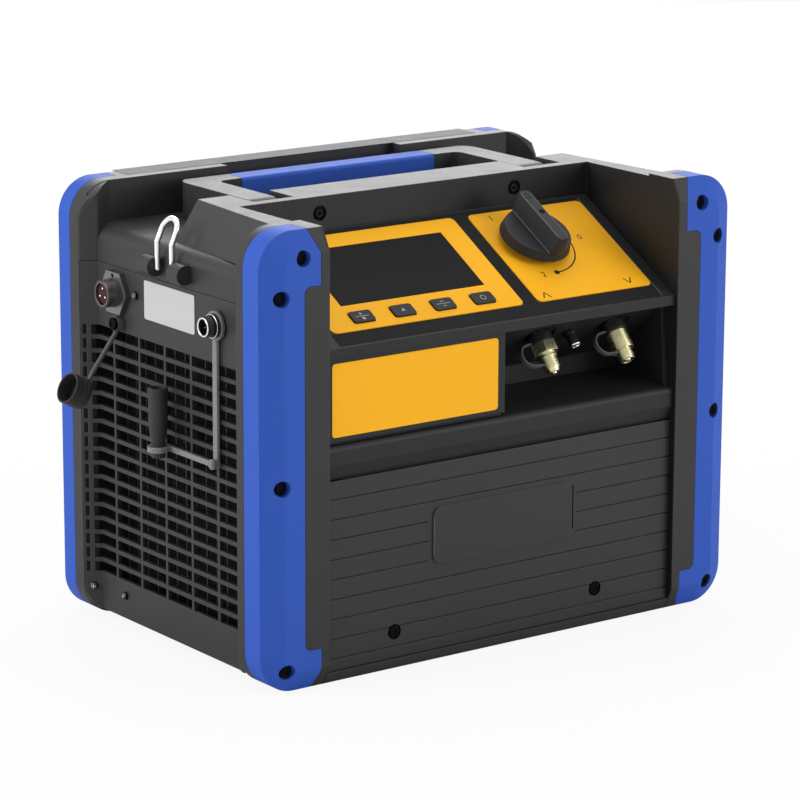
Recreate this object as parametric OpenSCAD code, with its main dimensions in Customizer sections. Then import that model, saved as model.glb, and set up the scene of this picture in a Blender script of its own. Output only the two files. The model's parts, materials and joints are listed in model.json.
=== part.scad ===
// Refrigerant recovery machine: a carried machine in two moulded end frames with louvred sides,
// a sloped control console, hose ports under its lip and a folding carry handle.
// Millimetres, +Z up, front towards -Y, origin at the centre of the base.

/* [Body] */
// Width over the bumpers
body_w = 400; // [390:1:430]
// Depth from the front face to the rear face
body_d = 264; // [260:1:290]
// Height of the end frames
body_h = 312; // [308:1:330]
// Outer corner radius of the end frames
corner_r = 26; // [24:1:30]
// Width of the bevel round each end face
bevel_w = 15; // [10:1:16]
// Depth of that bevel
bevel_d = 8; // [5:1:10]
// Depth of each end frame
frame_d = 34; // [32:1:38]
// Width of each front pillar, bumper included
pillar_w = 51; // [48:1:54]
// Height of the bottom bar of each frame
bottom_bar = 8; // [8:1:12]
// Height of the top bar of the rear frame
rear_bar = 42; // [40:1:50]
// Gap between mouldings that meet
panel_gap = 0.3; // [0.2:0.1:0.5]

/* [Bumpers] */
// Wall of a bumper
bumper_t = 7; // [6:0.5:8]
// Depth of a front bumper
bumper_front_d = 26; // [22:1:28]
// Depth of a rear bumper
bumper_rear_d = 22.5; // [20:0.5:26]
// Width of a bumper bar on the end face
bumper_bar = 31; // [26:1:32]
// Width of a bumper tab on the end face
bumper_tab = 44; // [40:1:46]
// Height of the top tab
top_tab = 37; // [32:1:42]
// Height of the bottom tab
bottom_tab = 28; // [24:1:32]
// Corner radius where a tab meets the bar
tab_fillet = 5; // [3:1:7]
// Radius of a screw recess
recess_r = 5.5; // [5:0.1:6]

/* [Sides and top] */
// How far the side panels stand in from the bumpers
side_in = 10; // [8:1:12]
// Thickness of the side panels and covers
skin = 3; // [2:0.5:4]
// Height of the bottom edge of a side panel
side_z0 = 7; // [5:1:12]
// Drop from the frame top to the top edge of a side panel
side_drop = 54; // [52:1:58]
// Number of louvre rows
louvre_rows = 18; // [12:1:18]
// Height of the plain strip above the louvres, below the power connector
louvre_strip = 36; // [32:0.5:44]
// Height of a louvre bar
louvre_bar = 3; // [2:0.5:4]
// Height of the lowest louvre row
louvre_z0 = 33; // [30:1:36]
// Spacing of the mullions
mullion_pitch = 32.4; // [30:0.2:33]
// Width of a mullion
mullion_w = 2.4; // [2:0.2:4]
// Drop from the frame top to the deck
deck_drop = 29; // [28:1:31]
// Drop from the frame top to the ledge
ledge_drop = 2; // [1:0.5:3]
// Radius of the deck shoulders
shoulder_r = 10; // [6:1:14]
// How far the upper block's rear top edge stands in from the bumpers
block_in = 41; // [38:1:44]
// Depth of the upper block behind the ledge wall
block_d = 38; // [34:1:44]

/* [Console] */
// Drop from the frame top to the console lip
lip_drop = 82; // [78:1:85]
// Setback of the lip from the front face
lip_set = 3; // [2:0.5:5]
// Height of the lip's front edge
lip_h = 7; // [6.5:0.5:8]
// Wall of the control panel
wall = 3.2; // [2.6:0.2:3.6]
// Distance from the front face to the ledge wall
wall_set = 104.3; // [103:0.1:106]
// Thickness of the two overlays
overlay_t = 0.8; // [0.5:0.1:1.2]
// Left edge of the display overlay
display_x0 = -136; // [-138:1:-132]
// Width of the display overlay
display_w = 160; // [156:1:164]
// Left edge of the selector overlay
selector_x0 = 36.5; // [33:0.5:38]
// Width of the selector overlay
selector_w = 101; // [99:1:106]
// Distance of the overlays up the slope
overlay_s0 = 13.5; // [12:0.5:14.5]
// Height of the overlays along the slope
overlay_h = 95.5; // [92:0.5:96]
// Width of the display window
window_w = 120.5; // [110:0.5:124]
// Height of the display window
window_h = 58; // [50:1:60]
// Width of a key
key_w = 17.5; // [15:0.5:20]
// Height of a key
key_h = 10.7; // [9:0.1:12]
// Spacing of the keys
key_pitch = 33.7; // [30:0.1:35]
// Travel of a key
key_travel = 0.8; // [0.4:0.1:1.0]
// Gap round a key
key_gap = 0.35; // [0.3:0.05:0.6]

/* [Selector] */
// Knob centre to the right of the middle
knob_x = 69.5; // [66:0.5:74]
// Knob centre up the slope
knob_s = 71; // [66:1:74]
// Knob skirt radius
knob_r = 26; // [22:1:28]
// Height of the skirt above the panel
knob_lift = 6; // [4:0.5:8]
// Height of the finger bar above the panel
knob_top = 27; // [24:1:30]
// Width of the finger bar
knob_bar = 12; // [9:0.5:14]
// Radius of the valve stem
stem_r = 5; // [4:0.5:6]
// Running clearance on a shaft, per side
run_gap = 0.06; // [0.03:0.01:0.1]

/* [Hose ports] */
// Left hose port
port_x1 = 49.5; // [46:0.5:52]
// Right hose port
port_x2 = 115.4; // [110:0.2:120]
// Angle of the ports below the horizontal
port_dip = 50; // [47:1:52]
// Depth of the bay behind the lip
bay_d = 64; // [56:1:70]
// Radius of the flare thread
flare_r = 5.55; // [5:0.05:6]
// Visible length of a hose fitting
fitting_l = 29; // [26:1:32]
// Across flats of the brass hex
hex_af = 17; // [16:0.5:18]
// Length of the brass hex
hex_t = 8; // [6:0.5:9]
// Radius of the plain barrel on the outlet
barrel_r = 7.8; // [7:0.1:8.4]

/* [Front panel] */
// Drop from the console lip to the lower front panel
lower_drop = 90.4; // [88:0.2:94]
// Setback of the lower front panel
lower_set = 5.5; // [4:0.5:7]
// Number of grooves
groove_rows = 9; // [6:1:9]
// Height of the plain strip above the grooves
groove_strip = 12.7; // [10:0.1:16]
// Lowest groove
groove_z0 = 16.5; // [15:0.5:18]
// Half width of the badge pad
badge_half = 60; // [50:1:70]
// Height of the badge pad
badge_h = 40; // [36:1:44]
// Drop from the lower panel's top edge to the badge pad
badge_drop = 31; // [28:0.5:34]

/* [Handle] */
// Centre of a handle arm
arm_x = 116; // [114:1:118]
// Width of a handle arm
arm_w = 22; // [18:1:24]
// Gap between the handle and the rear frame
handle_in = 10; // [8:1:14]
// Depth of the handle bar
bar_d = 21; // [19:1:23]
// Half length of the grip
grip_half = 84; // [70:1:90]
// Wall of the grip
grip_t = 4; // [3:0.5:5]
// Handle pivot behind the ledge wall
pivot_in = 26; // [24:1:30]
// Radius of the handle pins
handle_pin_r = 4; // [3:0.5:5]
// Side room of an arm in its pocket
pocket_side = 5.5; // [4:0.5:7]
// Half length of the finger notch in the rear frame
notch_half = 76; // [70:1:90]
// Depth of that notch
notch_d = 11; // [8:1:14]

/* [Connectors] */
// Power connector in front of the rear frame
power_in = 34.2; // [32:0.2:36]
// Drop from the frame top to the power connector
power_drop = 71.5; // [70:0.5:74]
// Barrel radius of the power connector
power_r = 9.75; // [9:0.25:10.5]
// Barrel length of the power connector
power_l = 13; // [12:1:18]
// Across flats of the hex flange
flange_af = 29; // [27:1:30]
// Radius of the dust cap
cap_r = 11; // [10.5:0.5:12]
// Length of the dust cap
cap_l = 13; // [11:1:18]
// Reach of the dust cap strap away from the panel
strap_out = 28; // [24:1:32]
// Drop of the dust cap strap
strap_drop = 38; // [34:1:44]
// Sensor connector behind the front frame
sensor_in = 36.2; // [34:0.2:40]
// Drop from the frame top to the sensor connector
sensor_drop = 72; // [70:1:74]
// Barrel radius of the sensor connector
sensor_r = 6.75; // [6:0.25:7.5]
// Length of the clear strap
clear_l = 94.5; // [90:0.5:102]
// Length of the clear arm
clear_arm = 57.3; // [52:0.1:60]
// Body radius of the rubber cap
rubber_r = 6.6; // [6:0.1:7]

/* [Bail] */
// Radius of the bail wire
wire_r = 2; // [1.5:0.1:2.3]
// Half spacing of the bail legs
leg_half = 9; // [7:1:11]
// Height of the straight part of a leg
leg_h = 18; // [16:1:22]
// Height of the leaning part
lean_h = 16; // [14:1:20]
// Inward lean of the upper part
lean_in = 7; // [5:1:10]
// Half length of the bail bracket
bracket_half = 25; // [23:1:30]
// Radius of the bail bracket
bracket_r = 6.8; // [6:0.2:7.6]

/* [Inside] */
// Fan radius
fan_r = 74; // [60:1:76]
// Number of fan blades
fan_blades = 7; // [5:1:9]
// Height of the fan axis
fan_z = 118; // [110:1:122]
// Radius of a refrigerant line
line_r = 4.5; // [3.5:0.5:5]
// Number of condenser passes
passes = 8; // [6:2:8]
// Number of condenser fins
fins = 13; // [9:1:17]
// Radius of the compressor case
case_r = 46; // [40:1:50]

/* [Hidden] */
$fn = 64;

// Colours of the finishes
black = [0.16, 0.16, 0.17];
blue = [0.2, 0.33, 0.72];
yellow = [0.97, 0.7, 0.16];
steel = [0.75, 0.76, 0.78];
brass = [0.78, 0.72, 0.48];
clear = [0.85, 0.88, 0.9];
red = [0.4, 0.05, 0.07];
copper = [0.72, 0.45, 0.3];
green = [0.1, 0.4, 0.2];
dark = [0.06, 0.06, 0.07];

// Overall lines
eps = 0.01;
half_w = body_w / 2;
face_y = -body_d / 2;
frame_in = face_y + frame_d;
opening_half = half_w - pillar_w;
deck_z = body_h - deck_drop;
ledge_z = body_h - ledge_drop;
side_x = half_w - side_in;
side_z1 = body_h - side_drop;
block_half = half_w - block_in;
lip_z = body_h - lip_drop;
wall_y = face_y + wall_set;
block_rear = wall_y + block_d;
lower_top = lip_z - lower_drop;
handle_y1 = -frame_in - handle_in;
pivot_y = wall_y + pivot_in;
power_y = -frame_in - power_in;
power_z = body_h - power_drop;
sensor_y = frame_in + sensor_in;
sensor_z = body_h - sensor_drop;
louvre_pitch = (power_z - louvre_strip - louvre_z0) / (louvre_rows - 1);
groove_pitch = (lower_top - groove_strip - groove_z0) / (groove_rows - 1);
badge_z1 = lower_top - badge_drop;
badge_z0 = badge_z1 - badge_h;
tray_half = side_x - 18;
tray_t = 3;

// Console line, from the lip up to the ledge wall
console_y0 = face_y + lip_set;
console_y1 = wall_y - panel_gap;
console_rise = deck_z + 4 - lip_z;
console_tilt = atan2(console_rise, console_y1 - console_y0);
console_l = norm([console_y1 - console_y0, console_rise]);
panel_half = opening_half - panel_gap;

// Front profile below the lip
lip_back = console_y0 + 11;
lip_low = lip_z - lip_h;
bay_back = console_y0 + bay_d - 3;
bay_low = lip_low - (bay_back - lip_back) / tan(port_dip);
bay_floor = lip_z - 62;
label_y = face_y + 5;
label_low = lip_z - 63.5;
cove_y = label_y + 4;
nose_y = face_y + 3.5;
nose_r = 4;
nose_top = label_low - 2.6;
nose_h = 13.4;
skirt_y = face_y + 7.5;
divider_x = 0;
port_t = 23;
port_y = lip_back + port_t * sin(port_dip);
port_z = lip_low - port_t * cos(port_dip);

// Handle
handle_top = ledge_z - 1.5;
handle_gap = 0.5;
handle_low = deck_z + handle_gap;
heel_r = (handle_top - handle_low) / 2;
pivot_z = handle_low + heel_r;
pocket_front = pivot_y - heel_r - 4.5;
arm_in = arm_x - arm_w / 2;
arm_out = arm_x + arm_w / 2;
pocket_in = arm_in - pocket_side;
pocket_out = arm_out + pocket_side;

// Fasteners
seat_depth = 6;
head_r = 4.4;
head_h = 2;
shank_r = 2.3;
shank_l = 12;
shank_gap = 0.2;
bumper_spots = [[30.3, body_h - 18], [14, body_h - 43.2], [14, 142], [17.3, 15.7]];
ledge_screw = [84, ledge_z - 12];
lower_spots = [-92, 82.5];
lower_screw_z = 26.5;
side_spots = [[power_y - 23.8, power_z + 1.5], [power_y - 5.3, 23.7]];
small_r = 2.8;
small_h = 1.6;
small_l = 4;
rear_spots = [[130, 30], [130, body_h - 72]];
rear_cover_y = 6;
rear_cover_t = 5;

// Keys and window on the console, as x and distance up the slope
key_x0 = display_x0 + 30;
key_s = overlay_s0 + 11.5;
key_stand = 1.2;
key_flange = 1.8;
key_flange_t = 1.2;
board_drop = wall + 3.4;
window_x0 = display_x0 + 21;
window_s0 = overlay_s0 + 24.5;

// Fan line
fan_y = 2;
condenser_x = -side_x + skin + 12;
condenser_d = 30;
shroud_x = condenser_x + condenser_d + 3;
fan_x = shroud_x + 8;
fan_w = 20;
motor_x = fan_x + fan_w + 6;
motor_l = 48;
motor_r = 30;
shaft_r = 4;

// Bail line
bail_x = -side_x - 4;
bail_y = -3.5;
bail_z = deck_z - 15;

// A prism along each axis, from one coordinate to another
module along_x(x0, x1) { translate([x0, 0, 0]) rotate([90, 0, 90]) linear_extrude(x1 - x0) children(); }
module along_y(y0, y1) { translate([0, y1, 0]) rotate([90, 0, 0]) linear_extrude(y1 - y0) children(); }
module along_z(z0, z1) { translate([0, 0, z0]) linear_extrude(z1 - z0) children(); }

// A round bar along each axis
module bar_x(x0, x1, r) { translate([x0, 0, 0]) rotate([0, 90, 0]) cylinder(h = x1 - x0, r = r); }
module bar_y(y0, y1, r) { translate([0, y1, 0]) rotate([90, 0, 0]) cylinder(h = y1 - y0, r = r); }

// The same thing on both sides of the machine
module both_sides() {
    children();
    mirror([1, 0, 0]) children();
}

// A rectangle with round corners, centred
module round_plate(w, h, r) {
    square([w - 2 * r, h], center = true);
    square([w, h - 2 * r], center = true);
    for (x = [-1, 1], y = [-1, 1])
        translate([x * (w / 2 - r), y * (h / 2 - r)]) circle(r);
}

// Points along an arc
function arc(c, r, a0, a1, n = 6) = [for (i = [0 : n]) c + r * [cos(a0 + (a1 - a0) * i / n), sin(a0 + (a1 - a0) * i / n)]];

// A bent sheet: a line of points and the same line moved t to its left, with mitred corners
function left_of(a, b) = [a[1] - b[1], b[0] - a[0]] / norm(b - a);
function mitred(p, i, t) =
    let (last = len(p) - 1)
    let (n0 = i > 0 ? left_of(p[i - 1], p[i]) : left_of(p[0], p[1]))
    let (n1 = i < last ? left_of(p[i], p[i + 1]) : n0)
    p[i] + (n0 + n1) * t / (1 + n0 * n1);
function sheet(p, t) = concat(p, [for (i = [len(p) - 1 : -1 : 0]) mitred(p, i, t)]);

// The console's own frame: x across, y up the slope, z out of the panel
module on_console() { translate([0, console_y0, lip_z]) rotate([console_tilt, 0, 0]) children(); }

// A hose port's own frame: z out along the port
module on_port(x) { translate([x, port_y, port_z]) rotate([90 + port_dip, 0, 0]) children(); }

// A place on the left side panel: z out of the panel
module on_left(y, z) { translate([-side_x, y, z]) rotate([0, -90, 0]) children(); }

// A round-headed screw, its head seated at z = 0, and the hole it needs
module screw() {
    cylinder(h = head_h, r = head_r);
    translate([0, 0, -shank_l]) cylinder(h = shank_l + eps, r = shank_r);
}
module small_screw() {
    cylinder(h = small_h, r = small_r);
    translate([0, 0, -small_l]) cylinder(h = small_l + eps, r = shank_r - 0.8);
}
module small_hole() { translate([0, 0, -skin - 4]) cylinder(h = skin + 6, r = shank_r - 0.8 + shank_gap); }
module screw_hole(above) {
    cylinder(h = above, r = recess_r);
    translate([0, 0, -shank_l - 1]) cylinder(h = shank_l + 2, r = shank_r + shank_gap);
}

// The front half's outer form, inset by a wall: a rounded block with a bevelled front edge
module bevelled_block(inset) {
    half = half_w - inset;
    top = body_h - inset;
    r = corner_r - inset;
    front = face_y + inset;
    shoulder = front + bevel_d;
    along_x(-half + r, half - r)
        polygon([[shoulder, inset], [front, inset + bevel_w], [front, top - bevel_w],
            [shoulder, top], [frame_in, top], [frame_in, inset]]);
    along_z(inset + r, top - r)
        polygon([[-half, shoulder], [bevel_w - half, front], [half - bevel_w, front],
            [half, shoulder], [half, frame_in], [-half, frame_in]]);
    for (x = [-half + r, half - r], z = [inset + r, top - r])
        translate([x, 0, z]) rotate([-90, 0, 0]) rotate_extrude()
            polygon([[0, front], [max(r - bevel_w, 1), front], [r, shoulder], [r, frame_in], [0, frame_in]]);
}

// The stretch of the end frame that a bumper covers, on the right, grown by a gap
module bumper_zone(depth, g) {
    bar_in = half_w - bumper_bar - g;
    tab_in = half_w - bumper_tab - g;
    tab_z = body_h - top_tab - g;
    low_z = bottom_tab + g;
    f = tab_fillet;
    along_y(face_y - 1, face_y + depth + g)
        polygon(concat([[half_w + 1, -1], [half_w + 1, body_h + 1], [tab_in + 6, body_h + 1],
            [tab_in + 6, body_h], [tab_in, body_h - bevel_w], [tab_in, tab_z]],
            arc([bar_in - f, tab_z - f], f, 90, 0),
            arc([bar_in - f, low_z + f], f, 0, -90),
            [[tab_in, low_z], [tab_in, 10], [tab_in + 4, 0], [tab_in + 4, -1]]));
}

// Screw places of the right bumper, seated below the end face
module bumper_places() {
    for (p = bumper_spots)
        translate([half_w - p[0], face_y + seat_depth, p[1]]) rotate([90, 0, 0]) children();
}

module bumper(depth) {
    difference() {
        intersection() {
            bevelled_block(0);
            bumper_zone(depth, 0);
        }
        bevelled_block(bumper_t);
        bumper_places() screw_hole(seat_depth + 1);
    }
}

// An end frame before its opening: the outer form with seats for both bumpers
module frame_body(depth) {
    difference() {
        bevelled_block(0);
        both_sides() {
            difference() {
                bumper_zone(depth, panel_gap);
                bevelled_block(bumper_t + panel_gap);
            }
            bumper_places() screw_hole(seat_depth + 1);
        }
    }
}

module front_frame() {
    color(black) difference() {
        frame_body(bumper_front_d);
        translate([-opening_half, face_y - 1, bottom_bar])
            cube([2 * opening_half, frame_d + 2, body_h]);
    }
}

module rear_frame() {
    color(black) mirror([0, 1, 0]) difference() {
        frame_body(bumper_rear_d);
        translate([-opening_half, face_y - 1, bottom_bar])
            cube([2 * opening_half, frame_d + 2, body_h - rear_bar - bottom_bar]);
        translate([-notch_half, frame_in - notch_d, deck_z])
            cube([2 * notch_half, notch_d + 1, body_h]);
    }
}

module bumper_front_left() { color(blue) mirror([1, 0, 0]) bumper(bumper_front_d); }
module bumper_front_right() { color(blue) bumper(bumper_front_d); }
module bumper_rear_left() { color(blue) mirror([0, 1, 0]) mirror([1, 0, 0]) bumper(bumper_rear_d); }
module bumper_rear_right() { color(blue) mirror([0, 1, 0]) bumper(bumper_rear_d); }

module bumper_screws() {
    color(steel) both_sides() {
        bumper_places() screw();
        mirror([0, 1, 0]) bumper_places() screw();
    }
}

// The upper block: ears beside the console, the ledge, and pockets for the handle arms
block_rise = ledge_z - deck_z;
block_lean = 34;
block_taper = 5.5;
ear_t = 3.5;
ear_low = lip_z + 6;
module side_cut() {
    translate([block_half, 0, ledge_z]) rotate([0, 0, block_taper]) rotate([0, -block_lean, 0])
        translate([0, -body_d, -2 * body_h]) cube([body_w, 2 * body_d, 3 * body_h]);
}
module top_housing() {
    color(black) difference() {
        union() {
            difference() {
                along_z(deck_z, ledge_z)
                    polygon([[-half_w, frame_in + panel_gap], [half_w, frame_in + panel_gap],
                        [half_w, block_rear], [-half_w, block_rear]]);
                both_sides() side_cut();
                translate([-opening_half - 1, frame_in - 1, deck_z - 1])
                    cube([2 * opening_half + 2, wall_y - frame_in + 1, block_rise + 2]);
            }
            both_sides() translate([opening_half + 1, frame_in + panel_gap, ear_low])
                cube([ear_t, wall_y - frame_in - panel_gap, deck_z - ear_low + eps]);
        }
        both_sides() {
            translate([pocket_in, pocket_front, deck_z - 1])
                cube([pocket_out - pocket_in, block_rear - pocket_front + 1, block_rise + 2]);
            translate([0, pivot_y, pivot_z]) bar_x(pocket_in - 9, pocket_out + 9, handle_pin_r + run_gap);
            translate([ledge_screw[0], wall_y + 3, ledge_screw[1]]) rotate([90, 0, 0]) screw_hole(4);
        }
    }
}

// The deck with its shoulders and side skirts, open over the console
skirt_gap = 0.4;
module deck_line(inset) {
    x = side_x - inset;
    top = deck_z - inset;
    r = shoulder_r - inset;
    along_y(frame_in + panel_gap, -frame_in - panel_gap) {
        translate([-x + r, 0]) square([2 * (x - r), top]);
        translate([-x, 0]) square([2 * x, top - r]);
        for (s = [-1, 1]) translate([s * (x - r), top - r]) circle(r);
    }
}
module flare_wedge(z0, z1, ends) {
    y0 = -frame_in - panel_gap;
    for (s = ends)
        along_z(z0, z1)
            polygon([[-side_x, s * (y0 - side_in)], [-half_w, s * y0], [-side_x, s * y0]]);
}
flare_drop = 9;
module top_cover() {
    skirt_z = side_z1 + skirt_gap;
    color(black) difference() {
        union() {
            deck_line(0);
            both_sides() flare_wedge(skirt_z, deck_z - shoulder_r, [-1, 1]);
            both_sides() intersection() {
                flare_wedge(deck_z - shoulder_r - 1, body_h - flare_drop, [1]);
                along_y(-body_d, body_d) translate([0, body_h / 2]) round_plate(body_w, body_h, corner_r);
            }
        }
        difference() {
            deck_line(skin);
            both_sides() bail_boss();
        }
        translate([-body_w, -body_d, -1]) cube([2 * body_w, 2 * body_d, skirt_z + 1]);
        translate([-opening_half - ear_t - 1.5, frame_in - 1, 0])
            cube([2 * (opening_half + ear_t + 1.5), wall_y - frame_in + 1 + panel_gap, body_h]);
    }
}
// Thickening behind the bail bracket
module bail_boss() {
    translate([-side_x, bail_y - bracket_half, side_z1 + skirt_gap])
        cube([skin + 3, 2 * bracket_half, deck_z - shoulder_r - side_z1]);
}

// A louvred side: flat sheet with flares at both ends
flare_end = -frame_in - panel_gap;
grille_end = flare_end - 1.2;
edge_mullion = flare_end - 4.4;
module side_sheet() {
    x = -side_x;
    y = flare_end - side_in;
    t = skin;
    d = t * sqrt(2);
    k = d - t;
    intersection() {
        along_z(side_z0, side_z1)
            polygon([[-half_w, -flare_end], [x, -y], [x, y], [-half_w, flare_end],
                [d - half_w, flare_end], [x + t, y + k], [x + t, -y - k], [d - half_w, -flare_end]]);
        along_y(-body_d, body_d) translate([0, body_h / 2]) round_plate(body_w - 2 * panel_gap, body_h, corner_r);
    }
}
mullions = [-2, -1, 0, 1, 2];
mullion_y = concat([-edge_mullion], [for (k = mullions) 4.4 + mullion_pitch * k], [edge_mullion]);
cell_y0 = concat([-grille_end], [for (y = mullion_y) y + mullion_w / 2]);
cell_y1 = concat([for (y = mullion_y) y - mullion_w / 2], [grille_end]);
module louvre_slots() {
    for (i = [0 : louvre_rows - 1], c = [0 : len(cell_y0) - 1])
        translate([-half_w - 1, cell_y0[c], louvre_z0 + i * louvre_pitch + louvre_bar / 2])
            cube([side_in + skin + 2, cell_y1[c] - cell_y0[c], louvre_pitch - louvre_bar]);
}
module side_panel() {
    difference() {
        side_sheet();
        louvre_slots();
    }
}
module side_screw_places() {
    for (p = side_spots) on_left(p[0], p[1]) children();
    translate([(-side_x - half_w) / 2, flare_end - side_in / 2, side_spots[1][1]])
        rotate([0, 0, 45]) rotate([0, -90, 0]) children();
}
module left_side_panel() {
    color(black) difference() {
        side_panel();
        side_screw_places() small_hole();
        on_left(power_y, power_z) translate([0, 0, -skin - 1]) cylinder(h = skin + 2, r = power_r + shank_gap);
        on_left(sensor_y, sensor_z) translate([0, 0, -skin - 1]) cylinder(h = skin + 2, r = sensor_r + shank_gap);
        on_left(hook_y, hook_z) translate([0, 0, -skin - 1]) cylinder(h = skin + 2, r = shank_r + shank_gap);
    }
}
module right_side_panel() {
    color(black) mirror([1, 0, 0]) difference() {
        side_panel();
        side_screw_places() small_hole();
    }
}

// The base: a flat tray between the frames that everything inside stands on
tray_lip = 14;
module base_tray() {
    y = -frame_in - panel_gap;
    color(black) difference() {
        translate([-tray_half, -y, 0]) cube([2 * tray_half, 2 * y, tray_lip]);
        translate([-tray_half + tray_t, -y + tray_t, tray_t])
            cube([2 * (tray_half - tray_t), 2 * (y - tray_t), tray_lip]);
    }
}

// Rear cover, set into the rear frame
rear_y = -face_y - rear_cover_y;
module rear_places() {
    for (s = [-1, 1], p = rear_spots)
        translate([s * p[0], rear_y - 2, p[1]]) rotate([-90, 0, 0]) children();
}
module rear_cover() {
    w = 2 * panel_half;
    z0 = bottom_bar + panel_gap;
    z1 = body_h - rear_bar - panel_gap;
    color(black) difference() {
        translate([-panel_half, rear_y - rear_cover_t, z0]) cube([w, rear_cover_t, z1 - z0]);
        translate([0, rear_y + 1, (z0 + z1) / 2]) rotate([90, 0, 0])
            linear_extrude(2.5) round_plate(w - 70, z1 - z0 - 60, 12);
        rear_places() screw_hole(4);
    }
}

// The control panel moulding: console, lip, label block and port bay as one bent wall
nose_line = concat([[cove_y, nose_top]], arc([nose_y + nose_r, nose_top - nose_r], nose_r, 90, 180), [[nose_y, nose_top - nose_h], [skirt_y, lower_top + panel_gap]]);
console_line = [[console_y1, lip_z + console_rise], [console_y0, lip_z], [console_y0, lip_low]];
label_line = concat(console_line, [[label_y, lip_low], [label_y, label_low], [cove_y, label_low]], nose_line);
bay_line = concat(console_line, [[lip_back, lip_low], [bay_back, bay_low], [bay_back, bay_floor]], nose_line);
bay_end = [[label_y, lip_low], [lip_back, lip_low], [bay_back, bay_low], [bay_back, bay_floor],
    nose_line[0], [cove_y, label_low], [label_y, label_low]];
bay_side = [[lip_back, lip_low], [bay_back, bay_low], [bay_back, bay_floor], nose_line[0]];
module port_places() {
    on_port(port_x1) children();
    on_port(port_x2) children();
}
collar_r = 13.5;
collar_deep = 1.4;
stud_x = 77;
stud_r = 3.6;
lock_r = 6;
module key_places() {
    for (i = [0 : 3]) on_console() translate([key_x0 + i * key_pitch, key_s, 0]) children();
}
module window_place() {
    on_console() translate([window_x0 + window_w / 2, window_s0 + window_h / 2, 0]) children();
}
module knob_place() { on_console() translate([knob_x, knob_s, 0]) children(); }
window_rest = 2;
module control_panel() {
    color(black) difference() {
        union() {
            along_x(-panel_half, divider_x) polygon(sheet(label_line, wall));
            along_x(divider_x - wall, panel_half) polygon(sheet(bay_line, wall));
            along_x(divider_x - wall, divider_x) polygon(bay_end);
            along_x(panel_half - wall, panel_half) polygon(bay_side);
        }
        translate([-body_w, console_y1, 0]) cube([2 * body_w, body_d, 2 * body_h]);
        window_place() translate([0, 0, -wall - 2])
            linear_extrude(wall + 4) square([window_w - 2 * window_rest, window_h - 2 * window_rest], center = true);
        key_places() translate([0, 0, -wall - 2])
            linear_extrude(wall + 4) round_plate(key_w + 2 * key_gap, key_h + 2 * key_gap, 2);
        knob_place() translate([0, 0, -wall - 2]) cylinder(h = wall + 4, r = stem_r + run_gap);
        port_places() {
            translate([0, 0, -wall - 2]) cylinder(h = wall + 4, r = lock_r + panel_gap);
            translate([0, 0, -collar_deep]) cylinder(h = collar_deep + 1, r = collar_r);
        }
        on_port(stud_x) translate([0, 0, -wall - 2]) cylinder(h = wall + 4, r = stud_r + panel_gap);
    }
}

// Lower front panel with fine grooves that stop short of the badge pad
lower_y = face_y + lower_set;
lower_t = 5;
groove_w = 1;
groove_deep = 0.9;
badge_gap = 4;
badge_stand = 1.2;
module groove(x0, x1, z) {
    translate([x0, lower_y - 1, z - groove_w / 2]) cube([x1 - x0, 1 + groove_deep, groove_w]);
}
module lower_front_panel() {
    z0 = bottom_bar + panel_gap;
    color(black) difference() {
        union() {
            translate([-panel_half, lower_y, z0]) cube([2 * panel_half, lower_t, lower_top - z0]);
            translate([0, lower_y + eps, (badge_z0 + badge_z1) / 2]) rotate([90, 0, 0])
                linear_extrude(badge_stand + eps) round_plate(2 * badge_half, badge_h, 6);
        }
        for (i = [0 : groove_rows - 1]) {
            z = groove_z0 + i * groove_pitch;
            beside = z > badge_z0 - badge_gap && z < badge_z1 + badge_gap;
            if (beside) {
                groove(-panel_half - 1, -badge_half - badge_gap, z);
                groove(badge_half + badge_gap, panel_half + 1, z);
            } else {
                groove(-panel_half - 1, panel_half + 1, z);
            }
        }
        lower_places() screw_hole(4);
    }
}

module lower_places() {
    for (x = lower_spots) translate([x, lower_y + 2.5, lower_screw_z]) rotate([90, 0, 0]) children();
}
module panel_screws() {
    color(steel) {
        both_sides() {
            translate([ledge_screw[0], wall_y + 3, ledge_screw[1]]) rotate([90, 0, 0]) screw();
            side_screw_places() small_screw();
        }
        lower_places() screw();
        rear_places() screw();
        on_left(hook_y, hook_z) translate([0, 0, hook_t + 2 * panel_gap]) screw();
    }
}

// Folding carry handle: two arms with round heels, joined by the rear bar
bar_round = 2.5;
turn_out = 15;
turn_in = 7;
module handle_plan() {
    low = pivot_y - heel_r - 1;
    difference() {
        translate([0, (low + handle_y1) / 2]) round_plate(2 * arm_out, handle_y1 - low, turn_out);
        translate([0, low + (handle_y1 - bar_d - low) / 2 - turn_in])
            round_plate(2 * arm_in, handle_y1 - bar_d - low + 2 * turn_in, turn_in);
    }
    both_sides() translate([arm_in, low]) square([arm_out - arm_in, turn_out + 1]);
}
module handle_side() {
    translate([pivot_y, pivot_z]) circle(heel_r);
    translate([pivot_y, handle_low]) square([handle_y1 - pivot_y - bar_round, 2 * heel_r]);
    translate([handle_y1 - bar_round - eps, handle_low + bar_round]) square([bar_round, 2 * (heel_r - bar_round)]);
    for (z = [handle_low + bar_round, handle_top - bar_round]) translate([handle_y1 - bar_round, z]) circle(bar_round);
}
module bar_side(inset) {
    translate([handle_y1 - bar_d / 2, pivot_z]) round_plate(bar_d - 2 * inset, 2 * (heel_r - inset), bar_round);
}
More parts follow.
